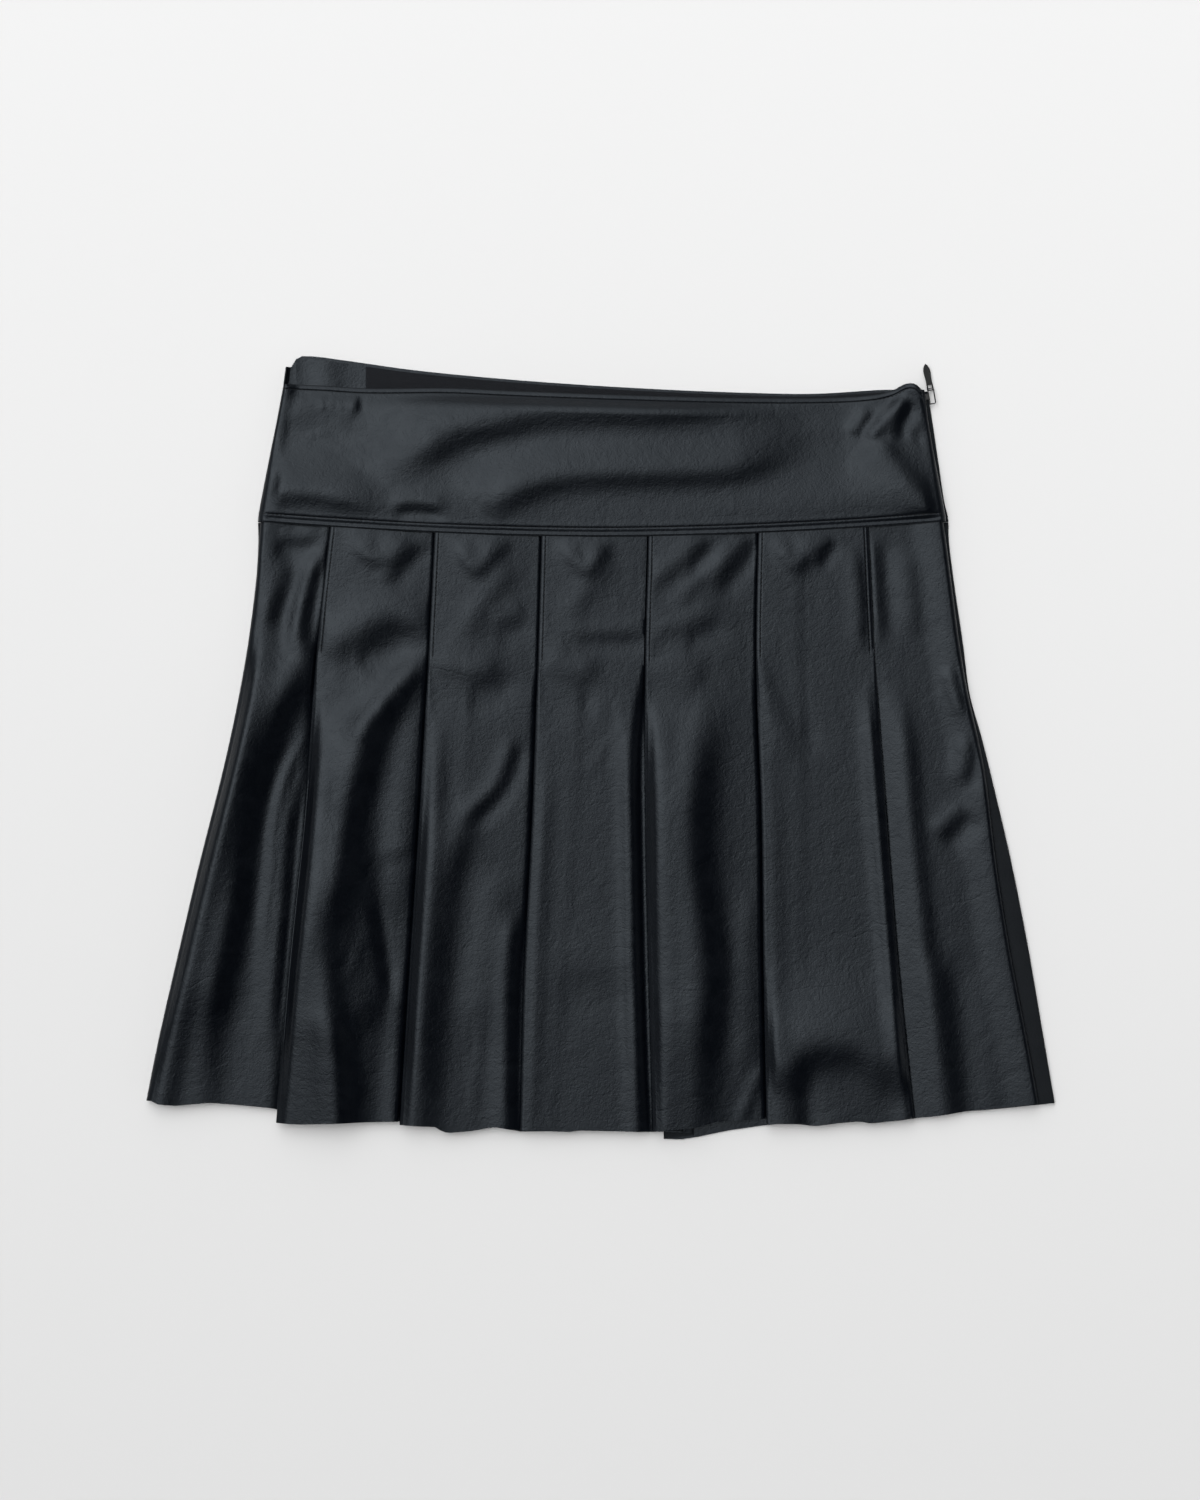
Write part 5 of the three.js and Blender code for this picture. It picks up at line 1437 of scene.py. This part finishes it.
# %% [markdown]
# ## The concealed zip
# A concealed zip turns its teeth to the inside, so from outside there is only a seam. Its coil is
# one long spiral of nylon sewn to a woven tape. Here the spiral's turns are rings set along the
# chain by the same kind of tree as the stitches.

# %% Zip path
ZIP_TOP_Y = 195.4
ZIP_BOTTOM_Y = 34.4
ZIP_HEIGHT = 3.05
CHAIN_SETBACK = 2.6
CHAIN_WIDTH = 2.4
TAPE_WIDTH = 13.0
COIL_PITCH = 1.25


def zip_edge_x(y):
    """Edge of the back along the whole zip, by height."""
    seam = float(yoke_edge_y(196))
    return np.where(y > seam, yoke_back_right(y), back_right_at(seam - y))


def zip_line(setback, height, top=ZIP_TOP_Y, bottom=ZIP_BOTTOM_Y, count=60):
    """Points along the zip, set back from the edge."""
    y = np.linspace(top, bottom, count)
    return np.stack([zip_edge_x(y) - setback, y, np.full_like(y, height)], axis=-1)


print("zip", ZIP_TOP_Y - ZIP_BOTTOM_Y, "mm long")

# %% Zip tape
tape_cloth, tape_tree, tape_shader, _, tape_ribs = toned_material(
    "woven tape", ("ShaderNodeTexWave", {"Scale": 700.0, "Distortion": 0.4}, {"bands_direction": "Y"}),
    (0.0030, 0.0030, 0.0034), (0.0090, 0.0090, 0.0098), 0.85)
tape_bump = add_node(tape_tree, "ShaderNodeBump", {"Strength": 0.7, "Distance": 0.0002})
tape_tree.links.new(tape_ribs.outputs["Fac"], tape_bump.inputs["Height"])
tape_tree.links.new(tape_bump.outputs[0], tape_shader.inputs["Normal"])
tape_outer = CHAIN_SETBACK + CHAIN_WIDTH + SEAM_GAP
tape_setbacks = np.linspace(tape_outer + TAPE_WIDTH, tape_outer, 7)
tape_points = np.stack(
    [zip_line(setback, ZIP_HEIGHT, bottom=22.9) for setback in tape_setbacks], axis=1)
tape_points[..., 2] += 0.12 * np.cos(np.linspace(0, 2 * np.pi, 7))[None, :]
zip_tape = cloth_shell("zip_tape_cloth", tape_points, tape_cloth, tape_cloth, thickness=0.5)
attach(zip_tape, "garment")
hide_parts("zip_tape")

# %% Zip coil
nylon = toned_material(
    "black nylon", ("ShaderNodeTexNoise", {"Scale": 1500.0, "Detail": 2.0}, {}),
    (0.0050, 0.0050, 0.0055), (0.0095, 0.0095, 0.0105), 0.38)[0]


def coil_ring(tree, entry):
    """Nodes of one flat ring of wire, and the output it leaves by."""
    round_ring = add_node(tree, "GeometryNodeCurvePrimitiveCircle", {"Resolution": 10, "Radius": 0.5})
    size = add_node(tree, "ShaderNodeCombineXYZ", {"Z": 1.0})
    flat_ring = add_node(tree, "GeometryNodeTransform")
    wire_section = add_node(tree, "GeometryNodeCurvePrimitiveCircle", {"Resolution": 5})
    ring = add_node(tree, "GeometryNodeCurveToMesh")
    wire(tree, (
        (entry, "Width", size, "Y"),
        (entry, "Height", size, "X"),
        (size, 0, flat_ring, "Scale"),
        (round_ring, "Curve", flat_ring, "Geometry"),
        (entry, "Wire", wire_section, "Radius"),
        (flat_ring, "Geometry", ring, "Curve"),
        (wire_section, "Curve", ring, "Profile Curve"),
    ))
    return ring, "Mesh"


coil_tree = line_tree("coil along a line", ("Pitch", "Wire", "Width", "Height"), "Z", coil_ring)
coil = along_lines(
    "zip_coil", [zip_line(CHAIN_SETBACK + CHAIN_WIDTH / 2, ZIP_HEIGHT)], coil_tree, nylon,
    pitch=COIL_PITCH, wire=0.2, width=2.0, height=0.6)
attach(coil, "garment")
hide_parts("zip_chain")

# %% [markdown]
# ## The slider and its pull
# Both are small die castings, enamelled black. They keep the solids' form. Only their edges were too
# sharp for a casting.

# %% Enamel
enamel, enamel_tree, enamel_shader, _, wear_noise = toned_material(
    "black enamel", ("ShaderNodeTexNoise", {"Scale": 900.0, "Detail": 4.0}, {}),
    (0.0025, 0.0027, 0.0032), (0.0080, 0.0085, 0.0095), 0.35, 0.25)
wear_rough = add_node(enamel_tree, "ShaderNodeMapRange", {"To Min": 0.26, "To Max": 0.44})
enamel_tree.links.new(wear_noise.outputs["Fac"], wear_rough.inputs["Value"])
enamel_tree.links.new(wear_rough.outputs["Result"], enamel_shader.inputs["Roughness"])

# %% Castings
CAST_EDGE = 0.14
CAST_SHARP = 0.6
CAST_FLAT = 0.02


def eased_casting(node, name, edge):
    """The form of a solid with its sharp edges rounded, as a mould leaves them."""
    form = bmesh.new()
    form.from_mesh(node.data)
    form.transform(node.matrix_world)
    bmesh.ops.remove_doubles(form, verts=form.verts, dist=0.001 * MM)
    bmesh.ops.dissolve_limit(form, angle_limit=CAST_FLAT, verts=form.verts, edges=form.edges)
    sharp = [e for e in form.edges if len(e.link_faces) == 2 and e.calc_face_angle(0) > CAST_SHARP]
    bmesh.ops.bevel(
        form, geom=sharp, offset=edge * MM, segments=2, profile=0.5, affect="EDGES", clamp_overlap=True)
    bmesh.ops.recalc_face_normals(form, faces=form.faces)
    mesh = bpy.data.meshes.new(name)
    form.to_mesh(mesh)
    form.free()
    mesh.materials.append(enamel)
    casting = bpy.data.objects.new(name, mesh)
    scene.collection.objects.link(casting)
    print(f"{name}: {len(sharp)} edges rounded, {len(mesh.polygons)} faces")
    return casting


for node_name, name, body in (("zip_slider", "cast_slider", "garment"), ("zip_pull", "cast_pull", "pull")):
    casting = eased_casting(frame["nodes"][node_name], name, CAST_EDGE)
    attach(casting, body)
    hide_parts(node_name)
